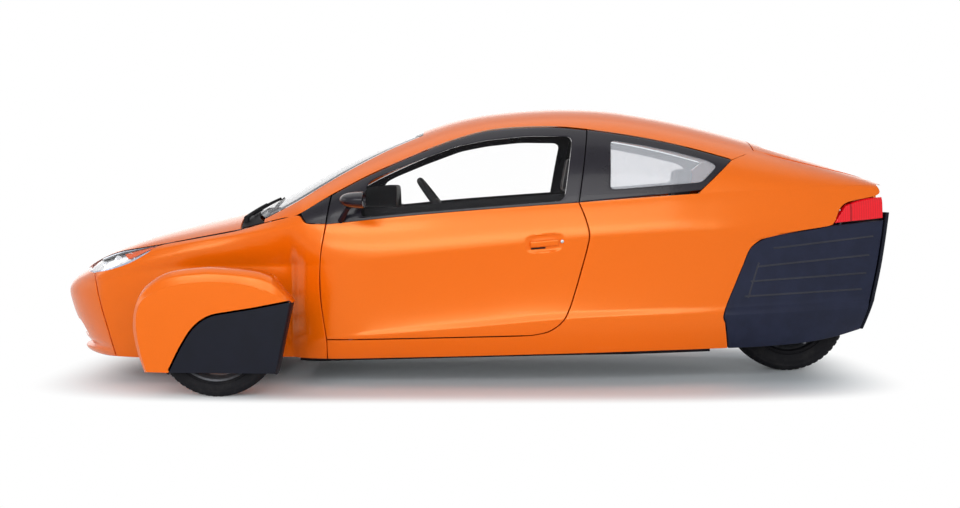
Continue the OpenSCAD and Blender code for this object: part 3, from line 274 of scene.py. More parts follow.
DAYLIGHT_TOP = [[-840, 837], [-690, 922], [-531, 1008], [-291, 1116], [-77, 1197], [93, 1239], [361, 1252],
                [541, 1238], [837, 1193], [1052, 1146], [1250, 1093]]
SCREEN_EDGE = [[-1029, 807], [-858, 896], [-622, 1042], [-440, 1140], [-255, 1222]]
HOOD_SEAM = [[-1967, 549], [-1900, 590], [-1830, 620], [-1743, 646], [-1640, 664], [-1540, 681], [-1350, 717],
             [-1170, 751], [-1060, 777]]
PILLAR_EDGES = [
    [[-1026, 786], [-935, 808], [-846, 829], [-690, 922], [-531, 1008], [-400, 1069], [-268, 1125]],
    [[-1028, 806], [-858, 896], [-740, 971], [-622, 1042], [-440, 1140], [-268, 1216]],
    [[-1026, 786], [-1028, 806]], [[-268, 1125], [-268, 1216]]]
ROOF_TAIL = [[1250, 1093], [1385, 1141]]
# Stations where the upper body's panels meet, how far back their ends bow at the sides, the hatch's share of the width
HOOD_FRONT_X, HOOD_REAR_X, SCREEN_X, HEADER_X, HATCH_X, HATCH_END_X = -2004, -1168, -1105, -262, 1385, 2022
HOOD_FRONT_BOW, HOOD_BOW, COWL_BOW, HATCH_END_BOW, HATCH_SHARE = 36, 24, 78, -6, 0.66
DOOR_WINDOW = [[-519, 980], [-458, 1013], [-280, 1086], [-87, 1157], [60, 1186], [250, 1206], [467, 1204], [420, 897],
               [0, 864], [-300, 839], [-548, 815]]
QUARTER_WINDOW = [[650, 1186], [800, 1163], [960, 1131], [1122, 1090], [1172, 1064], [1090, 984], [870, 966],
                  [640, 948]]
SAIL_EDGES = [[[-806, 788], [-711, 786]], [[-836, 838], [-764, 880], [-692, 921]], [[-806, 788], [-836, 838]],
              [[-711, 786], [-692, 921]]]
DOOR_POST = [[490, 888], [541, 1238]]
REAR_POST = [[1087, 947], [1168, 1020], [1250, 1093]]
DOOR_FRAME_EDGES = [DOOR_BELT, DAYLIGHT_TOP[1:8], [[-711, 784], [-690, 922]], DOOR_POST]
QUARTER_FRAME_EDGES = [[[490, 888], [690, 906], [880, 924], [1087, 947]], DAYLIGHT_TOP[7:], DOOR_POST, REAR_POST]
LAMP_EDGES = [[[-1967, 541], [-1882, 537.5], [-1780, 556], [-1680, 590.5], [-1600, 637], [-1550, 671]],
              [[-1967, 549], [-1900, 589], [-1830, 616], [-1743, 642], [-1640, 660], [-1550, 678]],
              [[-1967, 541], [-1967, 549]], [[-1550, 671], [-1550, 678]]]
TAIL_LAMP_EDGES = [[[1756, 783], [1840, 791], [1930, 799], [2010, 807]],
                   [[1816, 872], [1880, 895], [1940, 908], [2010, 914]],
                   [[1756, 783], [1816, 872]], [[2010, 807], [2010, 914]]]
CLAD_EDGES = [[[1236, 174], [1430, 178], [1620, 189], [1790, 214], [1926, 250]],
              [[1430, 728], [1540, 742], [1650, 757], [1752, 775], [2020, 800]], CLAD_FRONT,
              [[1926, 250], [1962, 400], [1992, 560], [2010, 700], [2020, 800]]]


def hood_edge(x):
    """Height of the hood's side seam."""
    return rail(HOOD_SEAM, 1, x)


def screen_edge(x):
    """Height of the windscreen's side edge."""
    return rail(SCREEN_EDGE, 1, x)


def roof_edge(x):
    """Height of the roof's side edge."""
    return np.where(x < ROOF_TAIL[0][0], rail(DAYLIGHT_TOP, 1, x), rail(ROOF_TAIL, 1, x))


def hatch_edge(x):
    """Height of the hatch's side edge."""
    z3 = rail(BELT_RAIL, 1, x)
    return z3 + (rail(CROWN, 1, x) - z3) * dome_v(HATCH_SHARE, rail(DOME, 1, x), rail(DOME, 2, x))


# Nose: profile on the centre plane, columns: height z, station x
NOSE_TIP = [[115, -1968], [120, -1998], [130, -2022], [142, -2034], [152, -2032], [160, -2012], [168, -1999],
            [200, -2027], [240, -2050], [280, -2069], [320, -2086], [363, -2100], [420, -2114], [450, -2110],
            [475, -2095], [500, -2068], [520, -2036], [538, -2004]]
# Bluntness of the nose in plan, and how far its lip rises towards the sides
NOSE_BLUNT, LIP_RISE = 2.2, 13


def nose_points(s, z, depth=0.0):
    """Points of the nose at share s of its half width and height z, a depth below the outside."""
    tip, b = rail(NOSE_TIP, 1, z), s * s
    zs = z + LIP_RISE * b * b * np.maximum(0, (200 - z) / 85)
    seam = rail([[p[1], p[0]] for p in NOSE_SEAM], 1, zs)
    y = sharp_side_y(seam, zs) * s
    return np.stack([tip + (seam - tip) * np.abs(s) ** NOSE_BLUNT + depth * (1 - b ** 3),
                     y - depth * 0.9 * s * np.abs(s), zs], -1)


# Tail on the centre plane and at its sides, columns: height z, station x
TAIL_BACK = [[250, 1962], [400, 1996], [560, 2022], [700, 2038], [790, 2045], [836, 2045]]
TAIL_SIDE = [[250, 1926], [400, 1962], [560, 1992], [700, 2010], [800, 2020], [836, 2024]]


def tail_points(s, z, d):
    """Points of the tail at share s of its half width and height z, a depth d below the outside."""
    back, side = rail(TAIL_BACK, 1, z), rail(TAIL_SIDE, 1, z)
    half = sharp_side_y(side, np.minimum(z, 800))
    return np.stack([back - (back - side - 17) * s ** 4 - d * (1 - 0.57 * s ** 4), half * s * (1 - d / 900),
                     z + 0 * s], -1)


class Shell:
    """Faces of one piece, gathered in millimetres. Each face has a kind, the number of its material."""

    def __init__(self):
        self.points, self.faces, self.kinds, self.count = [], [], [], 0

    def add(self, points, faces, kind=0):
        """Points and the faces between them."""
        points = np.asarray(points, float).reshape(-1, 3)
        faces = np.asarray(faces)
        self.points.append(points)
        self.faces += (faces + self.count).tolist()
        self.kinds += [kind] * len(faces)
        self.count += len(points)
        return self

    def grid(self, g, kind=0, flip=False, wrap=False):
        """A sheet of quads through a grid of points, open or closed along its first direction."""
        m, n = g.shape[:2]
        ids = np.arange(m * n).reshape(m, n)
        if wrap:
            ids = np.concatenate([ids, ids[:1]])
        quads = np.stack([ids[:-1, :-1], ids[1:, :-1], ids[1:, 1:], ids[:-1, 1:]], -1).reshape(-1, 4)
        return self.add(g, quads[:, ::-1] if flip else quads, kind)

    def band(self, loops):
        """Quads from one closed line of points to the next."""
        return self.grid(np.stack([np.asarray(p, float) for p in loops], 1), wrap=True)

    def cap(self, loop, flip=False):
        """One face across a closed line of points."""
        ids = np.arange(len(loop))
        return self.add(loop, [ids[::-1] if flip else ids])

    def slab(self, outer, inner, back=1, soft="LRBT", r=2.2):
        """A panel between two grids, back the kind of the inner one. The sides in soft get an edge of radius r."""
        outer = outer.copy()
        m, n = outer.shape[:2]
        lead = np.zeros_like(outer)
        sides = {"L": (np.s_[0], np.s_[1]), "R": (np.s_[-1], np.s_[-2]),
                 "B": (np.s_[:, 0], np.s_[:, 1]), "T": (np.s_[:, -1], np.s_[:, -2])}
        for name in soft:
            a, b = sides[name]
            t = outer[b] - outer[a]
            lead[a] += t / np.maximum(np.linalg.norm(t, axis=-1, keepdims=True), 1e-9)
        ring = [(i, 0) for i in range(m - 1)] + [(m - 1, j) for j in range(n - 1)]
        ring += [(i, n - 1) for i in range(m - 1, 0, -1)] + [(0, j) for j in range(n - 1, 0, -1)]
        rows, cols = np.array(ring).T
        rim, rim_in, t = outer[rows, cols], inner[rows, cols], lead[rows, cols]
        d = rim_in - rim
        d = d / np.maximum(np.linalg.norm(d, axis=-1, keepdims=True), 1e-9)
        self.grid(outer + lead * r)
        self.grid(inner, back, flip=True)
        angles = np.radians([0, 30, 60, 90])
        loops = [rim + t * r * (1 - math.sin(k)) + d * r * (1 - math.cos(k)) for k in angles] + [rim_in]
        return self.band(loops[::-1])

    def panel(self, flat, depth, under, **look):
        """A panel of the left side over [x, z] points, between two depths below the outside."""
        return self.slab(side_points(flat, depth), side_points(flat, under), **look)

    def ring_slab(self, hole, rim, thick, across, r):
        """A frame between a closed hole and a closed rim of [x, z] points on the left side."""
        edge = min(0.3, r / np.linalg.norm(rim - hole, axis=1).min())
        t = np.concatenate([[0], np.linspace(edge, 1 - edge, across), [1]])
        flat = hole[:, None] * (1 - t)[None, :, None] + rim[:, None] * t[None, :, None]
        top, under = side_points(flat), side_points(flat, thick)
        top[:, [0, -1], 1] += r
        self.grid(top, flip=True, wrap=True).grid(under, 1, wrap=True)
        return self.band([top[:, 0], under[:, 0]]).band([under[:, -1], top[:, -1]])

    def mirrored(self):
        """Adds the mirror image across the centre plane."""
        points, faces, kinds, n = np.concatenate(self.points), list(self.faces), list(self.kinds), self.count
        self.points.append(points * [1, -1, 1])
        self.faces += [[i + n for i in f[::-1]] for f in faces]
        self.kinds += kinds
        self.count = 2 * n
        return self

    def only_right(self):
        """Moves the faces to their mirror image across the centre plane."""
        self.points = [np.concatenate(self.points) * [1, -1, 1]]
        self.faces = [f[::-1] for f in self.faces]
        return self

    def object(self, name, weld=None):
        """The faces as a new object, its doubles merged and its normals turned outward if weld is given."""
        mesh = bpy.data.meshes.new(name)
        mesh.from_pydata((np.concatenate(self.points) * MM).tolist(), [], self.faces)
        mesh.polygons.foreach_set("material_index", np.array(self.kinds, np.int32))
        obj = bpy.data.objects.new(name, mesh)
        bpy.context.scene.collection.objects.link(obj)
        if weld is not None:
            edited(obj, remove_doubles={"threshold": weld * MM}, normals_make_consistent={"inside": False})
        return obj

    def piece(self, name, body, slot, finishes, replaces=(), angle=32, weld=None):
        """The faces as a finished piece of the car."""
        return settle(self.object(name, weld), body, finishes, replaces, angle)


def pick(*objs):
    """Leaves only these objects selected, the first one active."""
    bpy.ops.object.select_all(action="DESELECT")
    for o in objs:
        o.select_set(True)
    bpy.context.view_layer.objects.active = objs[0]


def edited(obj, **steps):
    """Runs operators of bpy.ops.mesh, each with its settings, on the whole of an object."""
    pick(obj)
    bpy.ops.object.mode_set(mode="EDIT")
    bpy.ops.mesh.select_all(action="SELECT")
    for name, settings in steps.items():
        getattr(bpy.ops.mesh, name)(**settings)
    bpy.ops.object.mode_set(mode="OBJECT")


def settle(obj, body, finishes, replaces=(), angle=32):
    """Moves a finished piece to the frame's origin, shades it and joins it to its CAD body."""
    obj.data.transform(Matrix.Translation((STATION_ZERO * MM, 0, 0)))
    pick(obj)
    obj.data.materials.clear()
    for f in finishes:
        obj.data.materials.append(finish(f))
    bpy.ops.object.shade_smooth_by_angle(angle=math.radians(angle))
    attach(obj, body)
    if replaces:
        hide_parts(*replaces)
    return obj


def apply(obj, kind, **settings):
    """Adds a modifier and applies it."""
    pick(obj)
    mod = obj.modifiers.new(kind, kind)
    for k, v in settings.items():
        setattr(mod, k, v)
    bpy.ops.object.modifier_apply(modifier=mod.name)


def bevelled(obj, width, segments=3, **settings):
    """The object with its edges bevelled, width in metres."""
    apply(obj, "BEVEL", width=width, segments=segments, **settings)
    return obj


def cut(obj, cutter):
    """Takes a cutter away from an object and deletes the cutter."""
    apply(obj, "BOOLEAN", operation="DIFFERENCE", object=cutter, solver="EXACT")
    bpy.data.objects.remove(cutter)


def primitive(kind, name, scale=(1, 1, 1), at=(0, 0, 0), turn=(0, 0, 0), **settings):
    """A new primitive, sizes and place in metres, turned in degrees."""
    bpy.ops.object.select_all(action="DESELECT")
    getattr(bpy.ops.mesh, f"primitive_{kind}_add")(**settings)
    obj = bpy.context.object
    obj.name = obj.data.name = name
    obj.scale, obj.location = scale, at
    obj.rotation_euler = [math.radians(a) for a in turn]
    pick(obj)
    bpy.ops.object.transform_apply(location=True, rotation=True, scale=True)
    return obj


def joined(name, *objs):
    """The objects as one."""
    pick(*objs)
    bpy.ops.object.join()
    obj = bpy.context.object
    obj.name = obj.data.name = name
    return obj


def tube(name, path, radius, sides=14, closed=False):
    """A round tube along a path of points in metres, radius a number or one for each point."""
    path = np.asarray(path, float)
    n = len(path)
    radius = np.broadcast_to(radius, (n,))
    ahead = np.roll(path, -1, 0) - np.roll(path, 1, 0) if closed else np.gradient(path, axis=0)
    ahead /= np.linalg.norm(ahead, axis=1)[:, None]
    side = np.cross(ahead[0], [0, 0, 1] if abs(ahead[0][2]) < 0.9 else [0, 1, 0])
    loops = []
    for p, a, r in zip(path, ahead, radius):
        side = side - a * side.dot(a)
        side /= np.linalg.norm(side)
        up = np.cross(a, side)
        k = np.linspace(0, 2 * np.pi, sides, endpoint=False)[:, None]
        loops.append(p + r * (np.cos(k) * side + np.sin(k) * up))
    shell = Shell()
    g = np.stack(loops) / MM
    if closed:
        g = np.concatenate([g, g[:1]])
    shell.grid(g.transpose(1, 0, 2), wrap=True, flip=True)
    if not closed:
        shell.cap(g[0]).cap(g[-1], flip=True)
    return shell.object(name, WELD)


def rounded(points, r, steps=8):
    """A closed outline with its corners rounded by radius r."""
    p = np.asarray(points, float)
    out, t = [], np.linspace(0, 1, steps + 1)[:, None]
    for i in range(len(p)):
        a, b = p[i - 1] - p[i], p[(i + 1) % len(p)] - p[i]
        la, lb = np.linalg.norm(a), np.linalg.norm(b)
        q, s = p[i] + a / la * min(r, la * 0.45), p[i] + b / lb * min(r, lb * 0.45)
        out.append((1 - t) ** 2 * q + 2 * t * (1 - t) * p[i] + t * t * s)
    return np.concatenate(out)


def resampled(line, n):
    """A line with n steps of even length."""
    line = np.asarray(line, float)
    s = np.concatenate([[0], np.cumsum(np.linalg.norm(np.diff(line, axis=0), axis=1))])
    k = np.linspace(0, s[-1], n + 1)
    return np.stack([np.interp(k, s, line[:, c]) for c in range(line.shape[1])], -1)


def four_sides(outline, corners, n):
    """A closed outline as four lines of n steps between the points next to four corners."""
    at = [int(np.argmin(np.linalg.norm(outline - np.array(c), axis=1))) for c in corners]
    lines = []
    for a, b in zip(at, at[1:] + at[:1]):
        ids = np.arange(a, b + 1 if b > a else b + 1 + len(outline)) % len(outline)
        lines.append(resampled(outline[ids], n))
    return lines


def loop_of(lines):
    """A closed line from lines that start where the one before ends."""
    return np.concatenate([line[:-1] for line in lines])


def edge_loop(edges, n):
    """Closed loop round four edge curves, in the order bottom, right, top, left."""
    t = np.linspace(0, 1, 60)
    b, top, left, right = (resampled(spline(e, t), n) for e in edges)
    return loop_of([b, right, top[::-1], left[::-1]])


class Value:
    """A shader socket that takes part in Python expressions."""

    def __init__(self, graph, socket):
        self.graph, self.socket = graph, socket

    def _math(self, operation, other):
        return self.graph.node("ShaderNodeMath", {"operation": operation}, {0: self, 1: other})

    def __add__(self, other):
        return self._math("ADD", other)

    __radd__ = __add__

    def __sub__(self, other):
        return self._math("SUBTRACT", other)

    def __mul__(self, other):
        return self._math("MULTIPLY", other)

    __rmul__ = __mul__

    def ramp(self, low, high):
        """0 below low, 1 above high, smooth between."""
        return self.graph.node("ShaderNodeMapRange", {"interpolation_type": "SMOOTHSTEP"},
                               {"Value": self, "From Min": low, "From Max": high})


class Graph:
    """A material's node tree with its Principled shader."""

    def __init__(self, name):
        self.material = bpy.data.materials.new(name)
        self.material.use_nodes = True
        self.nodes, self.links = self.material.node_tree.nodes, self.material.node_tree.links
        self.shader = next(n for n in self.nodes if n.type == "BSDF_PRINCIPLED")
        self.output = next(n for n in self.nodes if n.type == "OUTPUT_MATERIAL")
        self.place = self.node("ShaderNodeTexCoord", output="Object")

    def node(self, kind, settings=None, inputs=None, output=0):
        """A new node with these settings and inputs, as the value of one of its outputs."""
        made = self.nodes.new(kind)
        for k, v in (settings or {}).items():
            setattr(made, k, v)
        for k, v in (inputs or {}).items():
            self.feed(made.inputs[k], v)
        return Value(self, made.outputs[output])

    def feed(self, socket, value):
        """Links a value to a socket, or sets the socket to a constant."""
        if isinstance(value, Value):
            self.links.new(value.socket, socket)
        else:
            socket.default_value = value

    def set(self, **inputs):
        """Feeds the Principled shader's inputs, an underscore standing for each space."""
        for k, v in inputs.items():
            self.feed(self.shader.inputs[k.replace("_", " ")], v)

    def noise(self, scale, detail=2.0, roughness=0.5):
        """Cloudy noise from 0 to 1."""
        return self.node("ShaderNodeTexNoise", None, {"Vector": self.place, "Scale": scale, "Detail": detail,
                                                      "Roughness": roughness}, "Fac")

    def wave(self, axis, scale):
        """Even bands along an axis, from 0 to 1."""
        return self.node("ShaderNodeTexWave", {"bands_direction": axis}, {"Vector": self.place, "Scale": scale}, "Fac")

    def axis(self, letter):
        """The place along one axis."""
        return self.node("ShaderNodeSeparateXYZ", None, {0: self.place}, letter)

    def mix(self, factor, a, b):
        """Colour a where factor is 0, colour b where it is 1."""
        return self.node("ShaderNodeMix", {"data_type": "RGBA"}, {0: factor, 6: a, 7: b}, 2)

    def bump(self, height, strength):
        """Roughens the surface by a height, a strength of 1 being one millimetre."""
        self.set(Normal=self.node("ShaderNodeBump", None, {"Height": height, "Strength": strength, "Distance": MM}))


def shade(colour, k):
    """A colour k times as bright."""
    return tuple(min(1.0, c * k) for c in colour[:3]) + (1.0,)


FINISHES = {}


def finish(name):
    """The material of that name, made once."""
    if name not in FINISHES:
        graph = Graph(name)
        FINISH_MAKERS[name](graph, bpy.context.scene.car_looks)
        FINISHES[name] = graph.material
        FINISHES[name].name = name
    return FINISHES[name]


def orange_paint(g, looks):
    """Body paint: fine flake, a slow drift of its colour and a thin coat."""
    c = looks.paint
    flake, drift = g.noise(2600.0, 1.0), g.noise(2.2, 2.0)
    base = g.mix(flake.ramp(0.35, 0.65), shade(c, 0.94), shade(c, 1.05))
    base = g.mix(drift * 0.25, base, (c[0] * 0.96, c[1] * 0.86, c[2] * 0.9, 1))
    g.set(Base_Color=base, Roughness=0.2 + 0.05 * flake, Coat_Weight=0.05, Coat_Roughness=0.04, Coat_IOR=1.5,
          Specular_IOR_Level=0.8, Specular_Tint=(1.0, 0.68, 0.27, 1))
    g.bump(g.noise(420.0, 1.0), 0.012)


def grained(colour, low, high, grain, strength, coat=0.0, gloss=0.15):
    """Moulded plastic or rubber: fine grain, slight mottling, scuffed patches."""
    def make(g, looks):
        c = colour(looks) if callable(colour) else colour
        fine, broad = g.noise(grain, 3.0, 0.6), g.noise(9.0, 4.0, 0.6)
        scuff = g.noise(38.0, 5.0, 0.7).ramp(0.58, 0.78)
        tone = g.mix(broad.ramp(0.3, 0.7), shade(c, 0.86), shade(c, 1.14))
        g.set(Base_Color=g.mix(scuff * 0.12, tone, shade(c, 2.0)),
              Roughness=low + (high - low) * broad + 0.05 * scuff, Coat_Weight=coat, Specular_IOR_Level=gloss)
        g.bump(fine, strength)
    return make


def metal(colour, low, high, grain=120.0, metallic=1.0, coat=0.0):
    """Bare or painted metal, smeared between two roughnesses."""
    def make(g, looks):
        smear = g.noise(grain, 4.0, 0.65)
        g.set(Base_Color=g.mix(smear.ramp(0.3, 0.75), shade(colour, 0.85), shade(colour, 1.08)),
              Roughness=low + (high - low) * smear, Metallic=metallic, Coat_Weight=coat)
        g.bump(g.noise(grain * 4, 2.0), 0.03)
    return make


def pane(colour, alpha, gloss=0.5):
    """Thin clear sheet: mostly see-through, with a clean gloss and a trace of dust."""
    def make(g, looks):
        dust = g.noise(16.0, 4.0, 0.6)
        g.set(Base_Color=colour, Roughness=0.02 + 0.02 * dust, Alpha=alpha * (0.92 + 0.16 * dust),
              Specular_IOR_Level=gloss)
    return make


def red_lens(g, looks):
    """Ribbed red plastic with one dark seam across it."""
    x, ribs, c = g.axis("X"), g.wave("X", 26.0), looks.tail_red
    base = g.mix(ribs.ramp(0.35, 0.65), shade(c, 0.9), shade(c, 1.05))
    base = g.mix(x.ramp(1.872, 1.876) - x.ramp(1.88, 1.884), base, shade(c, 0.45))
    g.set(Base_Color=base, Roughness=0.12 + 0.05 * ribs, Coat_Weight=0.35, Emission_Color=base,
          Emission_Strength=0.12, Specular_IOR_Level=0.15)
    g.bump(ribs, 0.05)


def amber_lens(g, looks):
    """Ribbed amber plastic."""
    ribs = g.wave("X", 70.0)
    g.set(Base_Color=g.mix(ribs, (0.70, 0.055, 0.004, 1), (0.90, 0.16, 0.01, 1)), Roughness=0.2 + 0.1 * ribs,
          Coat_Weight=0.1, Specular_IOR_Level=0.2)
    g.bump(ribs, 0.25)


def seat_cloth(g, looks):
    """Plain weave with a little fuzz."""
    c, weave = looks.cloth, g.wave("Y", 330.0) * g.wave("Z", 330.0)
    fuzz = g.noise(60.0, 4.0, 0.7)
    base = g.mix(weave, shade(c, 0.7), shade(c, 1.35))
    g.set(Base_Color=g.mix(fuzz * 0.35, base, shade(c, 1.7)), Roughness=0.85 + 0.1 * fuzz, Sheen_Weight=0.3)
    g.bump(weave, 0.35)


def tyre_rubber(g, looks):
    """Dark rubber with dusty, worn patches."""
    fine, dust = g.noise(900.0, 2.0), g.noise(14.0, 5.0, 0.65)
    dark, worn = (0.006, 0.006, 0.008, 1), (0.020, 0.019, 0.020, 1)
    g.set(Base_Color=g.mix(dust.ramp(0.45, 0.8), dark, worn), Roughness=0.58 + 0.2 * dust, Specular_IOR_Level=0.15)
    g.bump(fine, 0.12)


FINISH_MAKERS = {
    "orange_paint": orange_paint,
    "black_plastic": grained(lambda looks: looks.trim, 0.42, 0.55, 950.0, 0.10),
    "clad_plastic": grained(lambda looks: shade(looks.trim, 3.2), 0.42, 0.55, 950.0, 0.10),
    # Lighter than the cladding: a painted highlight on the louvre beads
    "clad_bead_painted_highlight": grained((0.026, 0.028, 0.040, 1), 0.36, 0.46, 700.0, 0.06, 0.2),
    # Grey-violet for the first rings of a pod's rear edge: a painted highlight where that edge catches the light
    "skirt_edge_painted_highlight": grained((0.17, 0.16, 0.22, 1), 0.3, 0.4, 500.0, 0.03, 0.4),
    "black_gloss": grained((0.0085, 0.0072, 0.0125, 1), 0.24, 0.32, 300.0, 0.006, 0.1, 0.22),
    "cabin_plastic": grained((0.006, 0.0055, 0.007, 1), 0.5, 0.66, 700.0, 0.16, 0.0, 0.08),
    "cabin_lining": grained((0.020, 0.020, 0.023, 1), 0.8, 0.92, 1300.0, 0.3),
    "rubber": grained((0.006, 0.006, 0.007, 1), 0.55, 0.7, 800.0, 0.1),
    "tyre_rubber": tyre_rubber,
    "rim_silver": metal((0.15, 0.155, 0.17, 1), 0.3, 0.4, 90.0, 0.7, 0.2),
    "steel": metal((0.36, 0.37, 0.39, 1), 0.3, 0.45),
    "cast_iron": metal((0.085, 0.088, 0.095, 1), 0.5, 0.68, 160.0, 0.7),
    "chrome": metal((0.86, 0.87, 0.9, 1), 0.05, 0.09, 30.0),
    "bezel_silver": metal((0.42, 0.48, 0.60, 1), 0.2, 0.3, 60.0, 0.7, 0.5),
    "reflector_white": metal((0.93, 0.93, 0.95, 1), 0.1, 0.2, 40.0, 0.6, 0.6),
    "mirror_glass": metal((0.8, 0.82, 0.85, 1), 0.02, 0.03, 10.0),
    "window_glass": pane((0.82, 0.86, 0.88, 1), 0.005, 0.3),
    # Whitish and about a quarter opaque: a painted reflection of the bright surround over the pane
    "quarter_glass_painted_reflection": pane((0.90, 0.92, 0.98, 1), 0.26, 0.3),
    "screen_glass": pane((0.62, 0.66, 0.72, 1), 0.12),
    "tinted_glass": pane((0.02, 0.022, 0.026, 1), 0.72),
    "lamp_lens": pane((0.9, 0.93, 0.97, 1), 0.03),
    "tail_red": red_lens,
    "lamp_amber": amber_lens,
    "seat_cloth": seat_cloth,
    "seat_bolster": grained((0.016, 0.016, 0.018, 1), 0.55, 0.7, 420.0, 0.25),
    "plate_white": grained((0.72, 0.72, 0.70, 1), 0.3, 0.4, 300.0, 0.02, 0.3),
}


def refinish(node, kind):
    """Gives a node of the frame that stays in sight a finish."""
    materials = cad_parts[node].data.materials
    materials.clear()
    materials.append(finish(kind))


def colour_value(name, description, default):
    """A colour that a user would change."""
    return bpy.props.FloatVectorProperty(
        name=name, description=description, subtype="COLOR", size=4, min=0, max=1, default=default)


class CarLooks(bpy.types.PropertyGroup):
    """Colours and sizes of the dressed car that a user would change."""

    paint: colour_value("Body paint", "Colour of the painted panels", (0.84, 0.133, 0.001, 1.0))
    trim: colour_value("Dark trim", "Colour of the claddings and pod skirts", (0.0040, 0.0050, 0.0110, 1.0))
    tail_red: colour_value("Tail lamps", "Colour of the tail lamps", (0.74, 0.005, 0.014, 1.0))
    cloth: colour_value("Seat cloth", "Colour of the seat cloth", (0.022, 0.021, 0.025, 1.0))
    eye_height: bpy.props.FloatProperty(
        name="Eye height", description="Height of the camera", unit="LENGTH", default=0.972)
    eye_distance: bpy.props.FloatProperty(
        name="Eye distance", description="Distance of the camera from the centre plane", unit="LENGTH", default=5.6)
    lens: bpy.props.FloatProperty(
        name="Lens", description="Focal length of the camera", unit="CAMERA", default=39.96)
    shut_line: bpy.props.FloatProperty(
        name="Shut line", description="Half the gap between two panels, in millimetres", default=3.0)
    tread_depth: bpy.props.FloatProperty(
        name="Tread depth", description="Depth of the tyre grooves, in millimetres", default=7.0)


# Camera: place along the car in metres, tilt below level in degrees, sensor in millimetres
CAMERA_X, CAMERA_TILT, SENSOR_WIDTH = 0.056, 3.72, 36.0
# Soft lamps: name, place, size, power, aim
LAMPS = (("key", (0.2, -6.6, 3.6), (8.6, 2.8), 205.0, (0, 0, 0.6)),
         ("low_key", (0.2, -6.6, 1.6), (8.6, 1.0), 165.0, (0, 0, 0.6)),
         ("kicker", (-2.6, -6.4, 3.9), (2.6, 1.0), 36.0, (-1.1, -0.8, 0.55)),
         ("overhead", (0.0, 0.4, 4.8), (8.0, 4.0), 70.0, (0, 0.4, 0)),
         ("backdrop", (0.0, 7.0, 2.4), (16.0, 4.0), 160.0, (0, 0, 0.8)),
         ("front", (-6.8, -0.8, 2.6), (3.0, 3.0), 45.0, (-1.2, 0, 0.5)))
# Light of the surround on the car, and the floor's spread from its shaded middle to plain white
SOFT_LIGHT, FLOOR_SPREAD, FLOOR_STRETCH = 0.12, (0.2, 0.75), 0.425


def area_lamp(name, at, size, power, aim):
    """A rectangular lamp that faces a point."""
    bpy.ops.object.light_add(type="AREA", location=at)
    lamp = bpy.context.object
    lamp.name = name
    lamp.data.shape, lamp.data.size, lamp.data.size_y = "RECTANGLE", size[0], size[1]
    lamp.data.energy = power
    lamp.rotation_euler = (Vector(aim) - Vector(at)).to_track_quat("-Z", "Y").to_euler()


def seen_rays(tree):
    """Socket of a node tree that is 1 for camera, glossy and transmission rays."""
    rays = tree.nodes.new("ShaderNodeLightPath").outputs
    seen = rays["Is Camera Ray"]
    for kind in ("Is Glossy Ray", "Is Transmission Ray"):
        either = tree.nodes.new("ShaderNodeMath")
        either.operation = "MAXIMUM"
        tree.links.new(seen, either.inputs[0])
        tree.links.new(rays[kind], either.inputs[1])
        seen = either.outputs[0]
    return seen


class CAR_OT_stage(bpy.types.Operator):
    """Makes the camera, the pale floor, the white surround and the soft lamps"""

    bl_idname = "car.stage"
    bl_label = "Stage"

    def execute(self, context):
        looks, scene = context.scene.car_looks, context.scene
        scene.view_settings.view_transform = "Standard"
        bpy.ops.object.camera_add(location=(CAMERA_X, -looks.eye_distance, looks.eye_height),
                                  rotation=(math.radians(90 - CAMERA_TILT), 0, 0))
        scene.camera = bpy.context.object
        scene.camera.data.sensor_width = SENSOR_WIDTH
        scene.camera.data.lens = looks.lens
        # Floor: shaded round the car, plain white further out
        floor = primitive("plane", "floor", scale=(40, 40, 1), at=(0, 0, -0.0005), size=1.0)
        g = Graph("pale_floor")
        g.set(Base_Color=g.mix(g.noise(3.0, 3.0), (0.80, 0.86, 0.90, 1), (0.82, 0.88, 0.92, 1)), Roughness=0.7)
        white = g.node("ShaderNodeEmission", None, {"Color": (1, 1, 1, 1), "Strength": 1.0})
        x, y = g.axis("X") * FLOOR_STRETCH, g.axis("Y")
        share = Value(g, seen_rays(g.material.node_tree)) * (x * x * x * x + y * y * y * y).ramp(*FLOOR_SPREAD)
        lit = g.node("ShaderNodeMixShader", None, {0: share, 1: Value(g, g.shader.outputs[0]), 2: white})
        g.feed(g.output.inputs["Surface"], lit)
        floor.data.materials.append(g.material)
        # Surround: white where it is seen, soft where it lights the car
        scene.world = scene.world or bpy.data.worlds.new("surround")
        scene.world.use_nodes = True
        tree = scene.world.node_tree
        tree.nodes.clear()
        mixed, out = tree.nodes.new("ShaderNodeMixShader"), tree.nodes.new("ShaderNodeOutputWorld")
        tree.links.new(seen_rays(tree), mixed.inputs[0])
        for i, (colour, strength) in enumerate((((0.93, 0.96, 1.0, 1), SOFT_LIGHT), ((1, 1, 1, 1), 1.0))):
            light = tree.nodes.new("ShaderNodeBackground")
            light.inputs["Color"].default_value, light.inputs["Strength"].default_value = colour, strength
            tree.links.new(light.outputs[0], mixed.inputs[i + 1])
        tree.links.new(mixed.outputs[0], out.inputs[0])
        for lamp in LAMPS:
            area_lamp(*lamp)
        return {"FINISHED"}


